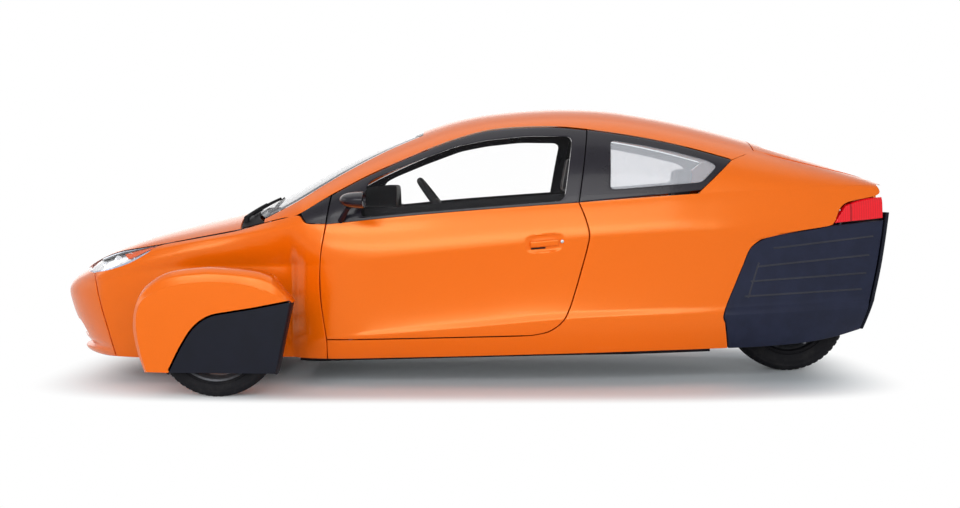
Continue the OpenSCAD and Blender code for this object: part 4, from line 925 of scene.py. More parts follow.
class CAR_OT_side_panels(bpy.types.Operator):
    """Makes the nose, fenders, sills, quarter panels, pillars and the fixed right side"""

    bl_idname = "car.side_panels"
    bl_label = "Side panels"

    def execute(self, context):
        gap = context.scene.car_looks.shut_line
        # Nose, with the intake cut out of it
        z = np.concatenate([np.linspace(115, 205, 40), np.linspace(211, 536, 50)])
        s, z = np.meshgrid(np.linspace(0.992, -0.992, 97), z, indexing="ij")
        nose = Shell().slab(nose_points(s, z), nose_points(s, z, 42), r=2.0).object("nose_skin")
        mouth = rounded([[-250, 212], [250, 212], [215, 290], [-215, 290]], 26)
        ring = [np.insert(mouth, 0, x, axis=1) for x in (-2200, -1880)]
        cut(nose, Shell().band(ring[::-1]).cap(ring[0], flip=True).cap(ring[1]).object("mouth", WELD))
        settle(nose, "chassis", ["orange_paint", "cabin_plastic"], ["nose_bumper"])
        # Fenders, with a window for the suspension arms behind the pod
        flat = coons(trimmed([FENDER_BOTTOM, FENDER_TOP, NOSE_SEAM, FENDER_REAR], [1.6, gap, 0, -1.6]), 150, 96)
        fenders = Shell().panel(flat, 0, PANEL).mirrored().object("fender_skins")
        window = primitive("cube", "arm_window", size=1.0, scale=(0.28, 2.4, 0.33), at=(-1.18, 0, 0.306))
        cut(fenders, bevelled(window, 0.035, 4))
        settle(fenders, "chassis", PAINT, ["fenders"])
        # Sills and quarter panels meet without a visible seam behind the door; under the door there is a gap
        ends = [[SILL_BOTTOM[k], SILL_TOP[k]] for k in (0, -1)]
        flat = coons(trimmed([SILL_BOTTOM, SILL_TOP, *ends], [gap, gap, 0, 0]), 220, 22)
        flat[..., 1] -= np.clip((330 - flat[:, :, 0]) / 120, 0, 1) * np.linspace(0, 1, 23)[None] * gap
        Shell().panel(flat, 0, PANEL, soft="LRB").mirrored().piece(
            "sill_skins", "chassis", "orange_paint", PAINT, ["sills"])
        quarter = trimmed([QUARTER_BOTTOM, QUARTER_BELT, DOOR_REAR, QUARTER_REAR], [gap, gap * 0.8, 0, 0])
        Shell().panel(coons(quarter, 150, 110), 0, PANEL, soft="LR").mirrored().piece(
            "quarter_skins", "chassis", "orange_paint", PAINT, ["quarter_panels"])
        # Pillars
        Shell().panel(coons(trimmed(PILLAR_EDGES, [1.6, -6, gap, 1.5]), 130, 14), 0, THIN, soft="LBT").mirrored().piece(
            "screen_pillar_skins", "chassis", "orange_paint", PAINT, ["windshield_pillars"])
        rear_top = [[1250, 1093], [1320, 1118], [1385, 1141]]
        rear_top += [[x, float(hatch_edge(x))] for x in range(1490, 2015, 131)]
        rear = [[[1072, 929], [1300, 943], [1700, 961], [1990, 972], [2018, 970]], rear_top,
                [[1072, 929]] + REAR_POST, [[2018, 970], [2014, float(hatch_edge(2014))]]]
        Shell().panel(coons(trimmed(rear, [gap * 0.5, 0, 0, 1.4]), 130, 34), 0, THIN, soft="LR").mirrored().piece(
            "rear_pillar_skins", "chassis", "orange_paint", PAINT, ["rear_pillars"])
        # Fixed right side, where the left side has its door
        Shell().panel(coons(trimmed(DOOR_EDGES, [gap, gap, gap, 0]), 150, 120), 0, PANEL).only_right().piece(
            "right_side_skin", "chassis", "orange_paint", PAINT, ["side_panel_right"])
        return {"FINISHED"}


# Corners of the hatch's pane in plan
HATCH_HOLE = [[1440, -190], [1790, -150], [1790, 150], [1440, 190]]


def on_roof(flat, depth=0):
    """Points a depth below the upper body's outside from [x, y] points."""
    return np.concatenate([flat, height_at(flat[..., 0], flat[..., 1])[..., None] - depth], -1)


class CAR_OT_upper_body(bpy.types.Operator):
    """Makes the hood, cowl, windscreen, roof and hatch"""

    bl_idname = "car.upper_body"
    bl_label = "Upper body"

    def execute(self, context):
        gap = context.scene.car_looks.shut_line

        def lid(name, sheet, sunk, thick, slot, finishes, node, soft="LRBT"):
            Shell().slab(dome_points(sheet, sunk), dome_points(sheet, sunk + thick), soft=soft).piece(
                name, "chassis", slot, finishes, [node])

        # Hood, thin at its front edge
        sheet = top_sheet(HOOD_FRONT_X, HOOD_REAR_X, HOOD_FRONT_BOW, HOOD_BOW, hood_edge, 120, 96, gap * 0.2)
        taper = np.minimum(1, 0.2 + (HOOD_REAR_X - HOOD_FRONT_X) * np.linspace(0, 1, len(sheet)) / 90)
        inner = np.stack([dome_points(row, THIN * k) for row, k in zip(sheet, taper)])
        Shell().slab(dome_points(sheet), inner).piece(
            "hood_skin", "hood", "orange_paint", ["orange_paint", "cabin_plastic"], ["hood"])
        # Gutters under the hood's side seams
        xs = np.linspace(-1680, HOOD_REAR_X - 20, 50)
        edge = hood_edge(xs)
        wide = side_y(xs, edge)
        gutter = [np.stack([np.stack([xs, -(wide - d), edge + k], -1) for k in (-24, -12, 0.4)], 1) for d in (31.5, 36)]
        Shell().slab(*gutter, soft="", back=0).mirrored().piece(
            "hood_gutters", "chassis", "rubber", ["rubber"], weld=WELD)
        lid("cowl_skin", top_sheet(HOOD_REAR_X + 6, SCREEN_X, HOOD_BOW, COWL_BOW, hood_edge, 12, 90, gap), 3.0, THIN,
            "black_plastic", ["cabin_plastic", "cabin_plastic"], "cowl_panel")
        screen = top_sheet(SCREEN_X + 1, HEADER_X - 1, COWL_BOW, 0, screen_edge, 80, 72, 1.6)
        lid("screen_pane", screen, 2.0, 5, "glass", ["screen_glass", "screen_glass"], "windshield")
        roof_trim = lambda x: np.where(x < 1240, gap + 1.6, 0.0)
        lid("roof_skin", top_sheet(HEADER_X, HATCH_X - 6, 0, 0, roof_edge, 150, 96, roof_trim), 0.0, THIN,
            "orange_paint", PAINT, "roof", "RBT")
        # Dark border printed on the edge of the windscreen
        under, border = dome_points(screen, 8.0), Shell()
        for part in (under[:4], under[-5:], under[:, :4], under[:, -4:]):
            border.grid(part)
        border.piece("screen_border", "chassis", "black_plastic", ["black_gloss"])
        # Hatch: painted frame round a dark pane
        plan = dome_points(top_sheet(HATCH_X, HATCH_END_X, 0, HATCH_END_BOW, hatch_edge, 90, 72, 4.6))[..., :2]
        rim = loop_of([resampled(plan[:, 0], 60), resampled(plan[-1], 40), resampled(plan[::-1, -1], 60),
                       resampled(plan[0, ::-1], 40)])
        lines = four_sides(rounded(HATCH_HOLE, 40), HATCH_HOLE, 60)
        hole = loop_of([lines[0], resampled(lines[1], 40), lines[2], resampled(lines[3], 40)])
        t = np.concatenate([[0, 0.02], np.linspace(0.06, 0.94, 24), [0.98, 1]])
        top = on_roof(hole[:, None] * (1 - t)[None, :, None] + rim[:, None] * t[None, :, None])
        under = top - [0, 0, 26]
        under[..., 1] *= 0.93
        under[:, -1, 0] = np.where(top[:, -1, 0] > 2000, top[:, -1, 0] - 22, top[:, -1, 0])
        top[:, 0, 2] -= 2.0
        top[:, -1, 2] -= 1.6
        hatch = Shell().grid(top, 0, wrap=True, flip=True).grid(under, 1, wrap=True)
        hatch.band([top[:, 0], under[:, 0]]).band([under[:, -1], top[:, -1]])
        hatch.piece("hatch_skin", "hatch", "orange_paint", PAINT, ["hatch_frame"], weld=WELD)
        top = on_roof(coons([lines[0], lines[2][::-1], lines[3][::-1], lines[1]], 48, 36), 5)
        Shell().slab(top, top - [0, 0, 5], soft="", back=0).piece(
            "hatch_pane", "hatch", "glass", ["tinted_glass"], ["hatch_glass"], weld=WELD)
        return {"FINISHED"}


def window_set(edges, window, corners, radius, trim):
    """Dark window frame and its pane, as two shells."""
    sides = four_sides(rounded(window[::-1], radius), corners, 60)
    holder = Shell().ring_slab(loop_of(sides), edge_loop(trimmed(edges, trim), 60), FRAME, 10, 1.6)
    flat = coons([sides[0], sides[2][::-1], sides[3][::-1], sides[1]], 44, 24)
    return holder, Shell().panel(flat, 7.0, 11.0, soft="", back=0)


def belt_roll():
    """Padded roll along the inside of the left belt."""
    xs = np.linspace(-530, 440, 60)
    line = np.stack([xs, rail(BELT_RAIL, 1, xs)], -1)
    return Shell().panel(np.stack([line + [0, k] for k in (-25, 0, 24, 46)], 1), 50, 66, back=0)


# Corners at which the outlines of the windows are parted into four sides
DOOR_CORNERS = [[-548, 815], [420, 897], [467, 1204], [-519, 980]]
QUARTER_CORNERS = [[640, 948], [1090, 984], [1172, 1064], [650, 1186]]


class CAR_OT_windows(bpy.types.Operator):
    """Makes the fixed window surrounds and panes"""

    bl_idname = "car.windows"
    bl_label = "Windows"

    def execute(self, context):
        gap = context.scene.car_looks.shut_line
        quarter, quarter_pane = window_set(QUARTER_FRAME_EDGES, QUARTER_WINDOW, QUARTER_CORNERS, 24,
                                           [gap, 1.0, 1.0, 1.0])
        right, right_pane = window_set(DOOR_FRAME_EDGES, DOOR_WINDOW, DOOR_CORNERS, 36, [-1.5, -1.5, 0, -1])
        quarter.panel(coons(trimmed(SAIL_EDGES, [0.6, gap, 0, 0.8]), 14, 14), 0, FRAME).mirrored()
        # Dark strips behind the seams at the door's post, the sail and the fender's top: line, depth, half width
        liners = Shell()
        for line, depth, wide in ((DOOR_POST, 31, 18),
                                  ([[-716, 772], [-711, 786], [-692, 921], [-686, 940]], 29, 16),
                                  ([[-850, 862], [-836, 838], [-806, 788], [-800, 776]], 30, 36)):
            seam = resampled(line, 20)
            strip = np.stack([seam + [k, 0] for k in (-wide, 0, wide)], 1)
            liners.panel(strip, depth, depth + 5, soft="", back=0)
        liners.mirrored().piece("post_liners", "chassis", "rubber", ["rubber"], weld=WELD)
        belt_roll().only_right().piece("right_belt_roll", "chassis", "black_plastic", ["cabin_plastic"], weld=WELD)
        right.only_right()
        quarter.add(np.concatenate(right.points), np.array(right.faces), 0)
        quarter.piece("surround_skins", "chassis", "black_plastic", ["black_gloss", "cabin_plastic"],
                      ["window_surrounds"])
        quarter_pane.mirrored().piece("quarter_panes", "chassis", "glass", ["quarter_glass_painted_reflection"], ["side_glass"])
        right_pane.only_right().piece("right_pane", "chassis", "glass", ["window_glass"])
        return {"FINISHED"}


class CAR_OT_door(bpy.types.Operator):
    """Makes the opening left door with its window, handle and inner trim"""

    bl_idname = "car.door"
    bl_label = "Door"

    def execute(self, context):
        gap = context.scene.car_looks.shut_line
        flat = coons(trimmed(DOOR_EDGES, [gap, gap, gap, 0]), 190, 150)
        # A shallow cup behind the handle flap
        dx, dz = (flat[..., 0] - 324) / 84, (flat[..., 1] - 697 - (flat[..., 0] - 324) * 0.08) / 40
        cup = 9.0 * np.clip(1.25 - dx ** 4 - dz ** 4, 0, 1) ** 0.8
        Shell().panel(flat, cup, PANEL).piece(
            "door_skin", "door", "orange_paint", ["orange_paint", "cabin_plastic"], ["door_shell"])
        belt_roll().piece("door_belt_roll", "door", "black_plastic", ["cabin_plastic"], weld=WELD)
        holder, glass = window_set(DOOR_FRAME_EDGES, DOOR_WINDOW, DOOR_CORNERS, 36, [gap, gap, 0, gap])
        holder.piece("door_frame_skin", "door", "black_plastic", ["black_gloss", "cabin_plastic"],
                     ["door_window_frame"])
        glass.piece("door_pane", "door", "glass", ["window_glass"], ["door_glass"])
        # Handle: a flap over the cup, with a dark slot under its front end and a round lock
        flat = coons([[[258, 676], [325, 681], [392, 688]], [[258, 706], [325, 711], [392, 717]],
                      [[258, 676], [258, 706]], [[392, 688], [392, 717]]], 40, 16)
        u, v = np.linspace(-1, 1, 41)[:, None], np.linspace(-1, 1, 17)[None]
        lift = 7.0 * (1 - 0.45 * u ** 4) * (1 - 0.55 * v ** 4)
        Shell().panel(flat, -lift, 3.0, r=3.0).piece(
            "handle_flap", "door", "orange_paint", ["orange_paint", "orange_paint"], ["door_handle"])
        slot = coons([[[262, 667], [330, 672]], [[262, 674], [330, 679]], [[262, 667], [262, 674]],
                      [[330, 672], [330, 679]]], 12, 4)
        Shell().panel(slot, 5.0, 9.0, soft="", back=0).piece("handle_slot", "door", "black_plastic", ["rubber"])
        y = -float(side_y(np.float64(400), np.float64(700))) * MM
        lock = primitive("cylinder", "door_lock", at=(0.408, y, 0.706), turn=(90, 0, 0), vertices=28, radius=0.008,
                         depth=0.008)
        settle(bevelled(lock, 0.0015), "door", ["steel"])
        return {"FINISHED"}


# Layers of a head lamp behind its cover: name, its part of the cover's length and height, depth, slot, finish and node.
# The housing is bright, with a bezel below, a dark brow above and an amber lens at its rear
HEAD_LAMP = (
    ("lamp_housing", (0.0, 1.0), (0.0, 1.0), 30.0, "lamp_bowl", "reflector_white", ["headlamp_bowls"]),
    ("lamp_bezel", (0.0, 1.0), (0.0, 0.2), 9.0, "lamp_bowl", "bezel_silver", ()),
    ("lamp_brow", (0.3, 0.97), (0.8, 0.92), 9.0, "lamp_bowl", "black_gloss", ()),
    ("lamp_brow_bright", (0.3, 1.0), (0.92, 1.0), 8.0, "lamp_bowl", "bezel_silver", ()),
    ("lamp_turn", (0.62, 0.95), (0.3, 0.78), 14.0, "lamp_lens", "lamp_amber", ()))
# Reflector bowls of a head lamp in metres, columns: x, z, radius
BOWLS = [[-1.83, 0.574, 0.020], [-1.755, 0.598, 0.027], [-1.69, 0.618, 0.022]]


class CAR_OT_lamps(bpy.types.Operator):
    """Makes the head lamps, with bowls, bezels and lenses, and the tail lamps"""

    bl_idname = "car.lamps"
    bl_label = "Lamps"

    def execute(self, context):
        flat = coons(LAMP_EDGES, 96, 24)[2:-2]
        Shell().panel(flat, 1.0, 5.0, soft="", back=0).mirrored().piece(
            "lamp_covers", "chassis", "lamp_lens", ["lamp_lens"], ["headlamp_lenses"])
        m, n = flat.shape[0] - 1, flat.shape[1] - 1
        for name, u, v, depth, slot, kind, replaces in HEAD_LAMP:
            part = flat[int(u[0] * m):int(u[1] * m) + 1, int(v[0] * n):int(v[1] * n) + 1]
            outer = side_points(part, depth)
            Shell().slab(outer, outer + [0, 8.0, 0], back=0, r=1.0).mirrored().piece(
                name, "chassis", slot, [kind], replaces)
        bowls = []
        for x, z, r in BOWLS:
            y = float(side_y(np.float64(x * 1000), np.float64(z * 1000))) * MM - 0.024
            for side in (-1, 1):
                bowl = primitive("uv_sphere", "bowl", segments=28, ring_count=14, radius=r)
                edited(bowl, bisect={"plane_co": (0, 0, -r * 0.2), "plane_no": (0, 0, 1), "clear_outer": True})
                apply(bowl, "SOLIDIFY", thickness=0.002)
                bulb = primitive("uv_sphere", "bulb", segments=16, ring_count=10, radius=r * 0.34, at=(0, 0, -r * 0.5))
                lit = joined("lamp_bowl", bowl, bulb)
                turn = Matrix.Rotation(math.radians(90 * -side), 4, "X") @ Matrix.Rotation(math.radians(-24), 4, "Y")
                lit.data.transform(Matrix.Translation((x, side * y, z)) @ turn)
                bowls.append(lit)
        settle(joined("lamp_reflectors", *bowls), "chassis", ["chrome"], angle=50)
        # Tail lamps: a red lens that draws in at its top
        flat = coons(trimmed(TAIL_LAMP_EDGES, [2.4, 0, 1.6, 2.4]), 60, 34)
        crown = 4.0 + 9.0 * np.clip((np.linspace(0, 1, 35)[None] - 0.7) / 0.3, 0, 1) ** 2
        Shell().panel(flat, crown, PANEL, back=0, r=3.0).mirrored().piece(
            "tail_lenses", "chassis", "tail_red", ["tail_red"], ["tail_lamps"])
        return {"FINISHED"}


# Louvre lines of the rear cladding and the line that joins their fronts, columns: station x, height z
LOUVRES = [[[1449, 664], [1967, 719]], [[1364, 575], [1950, 626]], [[1336, 504], [1938, 536]],
           [[1307, 431], [1917, 456]], [[1325, 423], [1350, 508], [1376, 595]]]


def cladding_depth(x, z):
    """How far the rear cladding lies below the body's side: sunk above its ledge, proud below it."""
    ledge_low, ledge_high = 343 + (x - 1206) * 0.024, 380 + (x - 1226) * 0.024
    step = np.clip((z - ledge_low) / (ledge_high - ledge_low), 0, 1)
    return 13.0 * step - 6.0 * np.clip((x - 1206) / 60, 0, 1) * (1 - step)


def bead(shell, line, profile, kind=0):
    """A small moulding along a line of the cladding, profile rows: offset across the line, height."""
    across = normals(line, 1)
    rows = []
    for off, height in profile:
        flat = line + across * off
        rows.append(side_points(flat, cladding_depth(flat[:, 0], flat[:, 1]) - height))
    return shell.grid(np.stack(rows, 1), kind)


class CAR_OT_tail(bpy.types.Operator):
    """Makes the dark rear claddings, the rear valance and the plate, and paints the tail panel"""

    bl_idname = "car.tail"
    bl_label = "Tail"

    def execute(self, context):
        flat = coons(trimmed(CLAD_EDGES, [3, 2, 0, 3.4]), 120, 180)
        depth = cladding_depth(flat[..., 0], flat[..., 1])
        beads = Shell()
        for line in LOUVRES:
            line = resampled(line, 60)
            # Each louvre: a ridge in a lighter finish, a painted highlight, and beside it a flat dark strip, painted
            # shade in place of a groove
            bead(beads, line, [[-5.5, -1], [-4, 2.4], [-3, 2.8], [0.6, -0.6]])
            bead(beads, line, [[0.4, 0.2], [4.0, 0.2]], 1)
        beads.mirrored().piece("cladding_beads", "chassis", "black_plastic", ["clad_bead_painted_highlight", "rubber"], angle=20)
        Shell().panel(flat, depth, 40, back=0, r=3.0).mirrored().piece(
            "cladding_skins", "chassis", "black_plastic", ["clad_plastic"], ["rear_claddings"], angle=24)
        s, z = np.meshgrid(np.linspace(-1, 1, 91), np.linspace(250, 836, 70), indexing="ij")
        Shell().slab(tail_points(s, z, 0), tail_points(s, z, THIN), back=0, r=3.0).piece(
            "valance_skin", "chassis", "black_plastic", ["black_plastic"], ["rear_valance"], weld=WELD)
        plate = primitive("cube", "plate_blank", size=1.0, scale=(0.006, 0.30, 0.09), at=(2.002, 0, 0.89))
        settle(bevelled(plate, 0.002), "chassis", ["plate_white"])
        refinish("tail_panel", "orange_paint")
        return {"FINISHED"}


# Side view of a pod measured from the axle, columns: x and z of its widest outline, x and z of its outer face.
# The last two rows are the tip and the heel of its straight rear edge
POD_SHAPE = [
    [-319, 123, -301, 130], [-350, 214, -327, 221], [-367, 304, -342, 311], [-368, 358, -344, 365],
    [-362, 404, -337, 409], [-346, 458, -321, 445], [-319, 503, -296, 469], [-282, 537, -260, 490],
    [-237, 565, -215, 508], [-183, 583, -161, 521], [-111, 593, -99, 530], [-20, 599, -9, 535], [79, 593, 89, 530],
    [160, 585, 170, 517], [215, 575, 224, 502], [264, 557, 268, 484], [362, 442, 350, 446], [285, 114, 279, 123]]
# Rings of a pod from its outer face inward, columns: distance, share of the outer face's outline, draw-in
POD_RINGS = [
    [0, 1, 0], [0.8, 0.977, 0], [2, 0.94, 0], [12, 0.453, 0], [14, 0.375, 0], [18, 0.297, 0], [34.6, 0.078, 0],
    [40, 0.04, 0], [50, 0.011, 0], [62, 0, 0], [120, 0, 3], [180, 0, 8], [196, 0, 13], [212, 0, 26], [240, 0, 80]]
SKIRT_EDGE = [[-203, 127], [-188, 152], [-143, 240], [-87, 325], [-16, 377], [80, 397], [185, 414], [350, 446]]
# Height of a pod's lower edge, its reach from the axle, its height, the axle's station and the outer face's half width
POD_BOTTOM, POD_REACH, POD_H, AXLE_X, POD_Y = 108, 368, 491, -1180, 848.5


def pod_line(points, ring):
    """A line of [x, z, face x, face z] points on one ring of the pod."""
    p = points[:, :2] + (points[:, 2:] - points[:, :2]) * ring[1]
    z = p[:, 1] - ring[2] * 0.45 * (p[:, 1] - POD_BOTTOM) / POD_H
    # Seen from the side the rear edge hides most of the wall behind it
    x = p[:, 0] * (1 - ring[2] / POD_REACH) - 14 * min(1, ring[0] / 180) * np.clip(p[:, 0] / 340, 0, 1) ** 2
    return np.stack([AXLE_X + x, np.full(len(p), -(POD_Y - ring[0])), z], -1)


class CAR_OT_pods(bpy.types.Operator):
    """Makes the front wheel pods: painted shells with flat dark skirts"""

    bl_idname = "car.pods"
    bl_label = "Pods"

    def execute(self, context):
        shape = np.array(POD_SHAPE, float)
        t = np.linspace(0, 1, 31)[:, None]
        over = np.concatenate([spline(shape[:16], np.linspace(0, 1, 151)),
                               (shape[15] * (1 - t) + shape[16] * t)[1:]])
        rear = shape[16] * (1 - t) + shape[17] * t
        for side, name in ((-1, "left"), (1, "right")):
            shell, skirt = Shell(), Shell()
            rings = [pod_line(over, r) for r in POD_RINGS]
            shell.grid(np.stack(rings, 1))
            heel = [pod_line(rear, r) for r in POD_RINGS]
            # The first rings of the rear edge get a lighter grey-violet, a painted highlight; the rings further in are
            # painted orange
            skirt.grid(np.stack(heel[:6], 1), 1).grid(np.stack(heel[5:], 1), 2)
            # Outer face: painted between the outline and the skirt's edge, dark below it
            face, edge = rings[0], resampled(spline(SKIRT_EDGE, np.linspace(0, 1, 240)), len(over) - 1)
            edge = np.stack([AXLE_X + edge[:, 0], np.full(len(edge), -POD_Y), edge[:, 1]], -1)
            edge[-1] = face[-1]
            u = np.linspace(0, 1, 40)[None, :, None]
            shell.grid(edge[:, None] * (1 - u) + face[:, None] * u)
            low = resampled(np.concatenate([[edge[0]], heel[0][::-1]]), len(edge) - 1)
            inner = edge + [0, 1.6, 0]
            low[1:-1] += [0, 0.8, 0]
            skirt.grid(low[:, None] * (1 - u) + inner[:, None] * u)
            skirt.grid(np.stack([inner, edge], 1))
            for part, label, node, kinds, slot in (
                    (shell, "pod_skin_", "pod_shell_", ["orange_paint"], "orange_paint"),
                    (skirt, "skirt_skin_", "pod_skirt_", ["black_plastic", "skirt_edge_painted_highlight", "orange_paint"],
                     "black_plastic")):
                if side > 0:
                    part.only_right()
                obj = part.object(label + name, 0.2)
                # An open sheet has to face outward before it is given its thickness inward
                if side * sum(f.normal.y * f.area for f in obj.data.polygons) < 0:
                    obj.data.flip_normals()
                apply(obj, "SOLIDIFY", thickness=0.009, offset=-1.0, use_even_offset=False)
                settle(obj, "steer_" + name, kinds, [node + name], angle=28)
            strap = primitive("cube", "pod_strap_" + name, size=1.0, scale=(0.05, 0.012, 0.228),
                              at=(-1.085, side * 0.617, 0.444))
            settle(bevelled(strap, 0.004), "steer_" + name, ["cast_iron"])
        return {"FINISHED"}


# Diameter of the rims in millimetres, pairs of spokes, steps round a tyre and round a rim
RIM_D, SPOKES, TYRE_STEPS, RIM_STEPS = 394.0, 5, 216, 96
# Wheels in millimetres: name, body, tyre and rim nodes, tyre's centre, rim's y, tyre's diameter and width, hub's width
WHEELS = (
    ("left", "wheel_front_left", "front_tyre_left", "front_rim_left", (AXLE_X, -720, 280), -730, 560, 128, 36),
    ("right", "wheel_front_right", "front_tyre_right", "front_rim_right", (AXLE_X, 720, 280), 730, 560, 128, 36),
    ("rear", "wheel_rear", "rear_tyre", "rear_rim", (1630, 0, 306), 0, 612, 176, 150))


def spun(radius, y, centre=(0, 0, 0)):
    """Points turned round an axle along y, one row of radii for each step of a full turn."""
    a = np.linspace(0, 2 * np.pi, len(radius), endpoint=False)[:, None]
    return np.stack([centre[0] + radius * np.sin(a), centre[1] + y + 0 * radius, centre[2] + radius * np.cos(a)], -1)


def tyre_shell(centre, d, w, depth):
    """A tyre with four grooves round it, cross cuts in its shoulders and rings on its sidewalls."""
    r, b = d / 2, RIM_D / 2
    half = [[b - 4, 0.40 * w], [b + 4, 0.455 * w], [b + 12, 0.465 * w], [b + 15, 0.45 * w], [b + 19, 0.452 * w],
            [b + 22, 0.478 * w], [b * 0.45 + r * 0.55 - 8, 0.497 * w], [b * 0.45 + r * 0.55, 0.503 * w],
            [b * 0.45 + r * 0.55 + 4, 0.494 * w], [r - 30, 0.485 * w], [r - 27, 0.489 * w], [r - 22, 0.478 * w],
            [r - 11, 0.44 * w], [r - 5, 0.40 * w], [r - 2, 0.345 * w]]
    grooves = [[r - 1.4, 0.28 * w], [r - 1.4 - depth, 0.27 * w], [r - 1.4 - depth, 0.225 * w], [r - 0.7, 0.215 * w],
               [r - 0.3, 0.10 * w], [r - 0.3 - depth, 0.09 * w], [r - 0.3 - depth, 0.05 * w], [r, 0.04 * w]]
    right = half + grooves
    profile = np.array([[p[0], p[1]] for p in right] + [[p[0], -p[1]] for p in right[::-1]])
    inner = np.array([[b - 4, -0.40 * w], [b + 10, -0.36 * w], [b + 10, 0.36 * w], [b - 4, 0.40 * w]])
    cuts = (np.arange(TYRE_STEPS) % 4 == 0)
    shoulder = (np.abs(profile[:, 1]) > 0.285 * w) & (profile[:, 0] > r - 12)
    middle = (np.abs(profile[:, 1]) > 0.095 * w) & (np.abs(profile[:, 1]) < 0.222 * w) & (profile[:, 0] > r - 3)
    radius = np.repeat(profile[None, :, 0], TYRE_STEPS, 0)
    radius[np.ix_(cuts, shoulder)] -= depth * 0.8
    radius[np.ix_(np.roll(cuts, 2), middle)] -= depth * 0.55
    lining = np.repeat(inner[None, :, 0], TYRE_STEPS, 0)
    shell = Shell().grid(spun(radius, profile[None, :, 1], centre), wrap=True)
    return shell.grid(spun(lining, inner[None, :, 1], centre), wrap=True)


def spoked_rim(name, w, hub_w):
    """An alloy rim with its outer side at -Y: barrel, dished spokes, hub, bolts and cap."""
    b = RIM_D / 2 * MM
    w, h = w * MM * 0.42, hub_w * MM / 2
    profile = [(b - 0.002, -w), (b + 0.006, -w - 0.004), (b + 0.008, -w - 0.001), (b + 0.002, -w + 0.006),
               (b - 0.012, -w + 0.02), (b - 0.020, -w + 0.03), (b - 0.020, w - 0.02), (b - 0.004, w - 0.006),
               (b + 0.008, w), (b + 0.006, w + 0.004), (b - 0.008, w), (b - 0.016, w - 0.012), (b - 0.026, w - 0.03),
               (b - 0.026, -w + 0.03), (b - 0.014, -w + 0.012)]
    p = np.array(profile) / MM
    g = spun(np.repeat(p[None, :, 0], RIM_STEPS, 0), p[None, :, 1])
    g = np.concatenate([g, g[:, :1]], 1)
    parts = [Shell().grid(g, wrap=True).object(name)]
    for vertices, radius, depth, y in ((56, 0.048, 2 * h, 0), (40, 0.024, 0.012, -h - 0.002)):
        hub = primitive("cylinder", "hub", vertices=vertices, radius=radius, depth=depth, at=(0, y, 0), turn=(90, 0, 0))
        parts.append(bevelled(hub, 0.004, limit_method="ANGLE"))
    for i in range(SPOKES):
        turn = Matrix.Rotation(2 * math.pi * i / SPOKES, 4, "Y")
        for lean in (-0.11, 0.11):
            spoke = primitive("cube", "spoke", size=1.0)
            spoke.data.transform(Matrix.Diagonal((0.026, 0.022, b - 0.05, 1)))
            for v in spoke.data.vertices:
                far = v.co.z > 0
                v.co.x *= 0.75 if far else 1.25
                v.co.x += lean * 0.12 * (1.7 if far else 0.6)
                v.co.y += -0.004 if far else 0.006
            spoke.data.transform(turn @ Matrix.Translation((0, -h + 0.014, (b + 0.03) / 2)))
            parts.append(bevelled(spoke, 0.005))
        bolt = primitive("cylinder", "bolt", vertices=6, radius=0.008, depth=0.012)
        turn = Matrix.Rotation(2 * math.pi * (i + 0.5) / SPOKES, 4, "Y")
        bolt.data.transform(turn @ Matrix.Translation((0, -h - 0.003, 0.035))
                            @ Matrix.Rotation(math.radians(90), 4, "X"))
        parts.append(bevelled(bolt, 0.0012, 2))
    return joined(name, *parts)


class CAR_OT_wheels(bpy.types.Operator):
    """Makes the tyres with their tread and the spoked rims"""

    bl_idname = "car.wheels"
    bl_label = "Wheels"

    def execute(self, context):
        depth = context.scene.car_looks.tread_depth
        for name, body, tyre, rim, (x, y, z), rim_y, d, w, hub_w in WHEELS:
            tyre_shell((x, y, z), d, w, depth).piece(
                "tyre_skin_" + name, body, "tyre", ["tyre_rubber"], [tyre], angle=30, weld=WELD)
            wheel = spoked_rim("rim_skin_" + name, w - 8, hub_w)
            if y > 0:
                wheel.data.transform(Matrix.Rotation(math.pi, 4, "Z"))
            wheel.data.transform(Matrix.Translation((x * MM, rim_y * MM, z * MM)))
            settle(wheel, body, ["rim_silver"], [rim], angle=35)
        return {"FINISHED"}


class CAR_OT_running_gear(bpy.types.Operator):
    """Finishes the suspension, drive shafts, engine block, knuckles and seals, and adds the under tray"""

    bl_idname = "car.running_gear"
    bl_label = "Running gear"

    def execute(self, context):
        for node, kind in (("swing_arm", "cast_iron"), ("front_arms", "cast_iron"), ("drive_shafts", "steel"),
                           ("engine", "cast_iron"), ("knuckle_left", "cast_iron"), ("knuckle_right", "cast_iron"),
                           ("seals", "rubber"), ("intake_grille", "black_plastic"), ("cabin_tub", "cabin_lining")):
            refinish(node, kind)
        x = np.linspace(-860, 1150, 80)
        y = np.minimum(sharp_side_y(x, rail(BOTTOM_RAIL, 1, x) + 4) - 26, 470)
        z = rail(BOTTOM_RAIL, 1, x) - 16
        share = np.linspace(-1, 1, 25)
        g = np.stack([np.repeat(x[:, None], 25, 1), y[:, None] * share[None], np.repeat(z[:, None], 25, 1)], -1)
        Shell().slab(g, g + [0, 0, 22], back=0, r=3.0).piece(
            "under_tray", "chassis", "black_plastic", ["cabin_plastic"], weld=WELD)
        return {"FINISHED"}


# Seats in metres and degrees: node, front end, width, length, height of the back, lean of the back
SEATS = (("driver_seat", -0.13, 0.47, 0.50, 0.625, 10.0), ("passenger_seat", 0.56, 0.41, 0.44, 0.56, 6.0))
# Height of the seats' undersides in metres, place of a cushion's welts as a share of its half width, width of a seam
SEAT_BASE, WELT, SEAM = 0.208, 0.62, 0.05


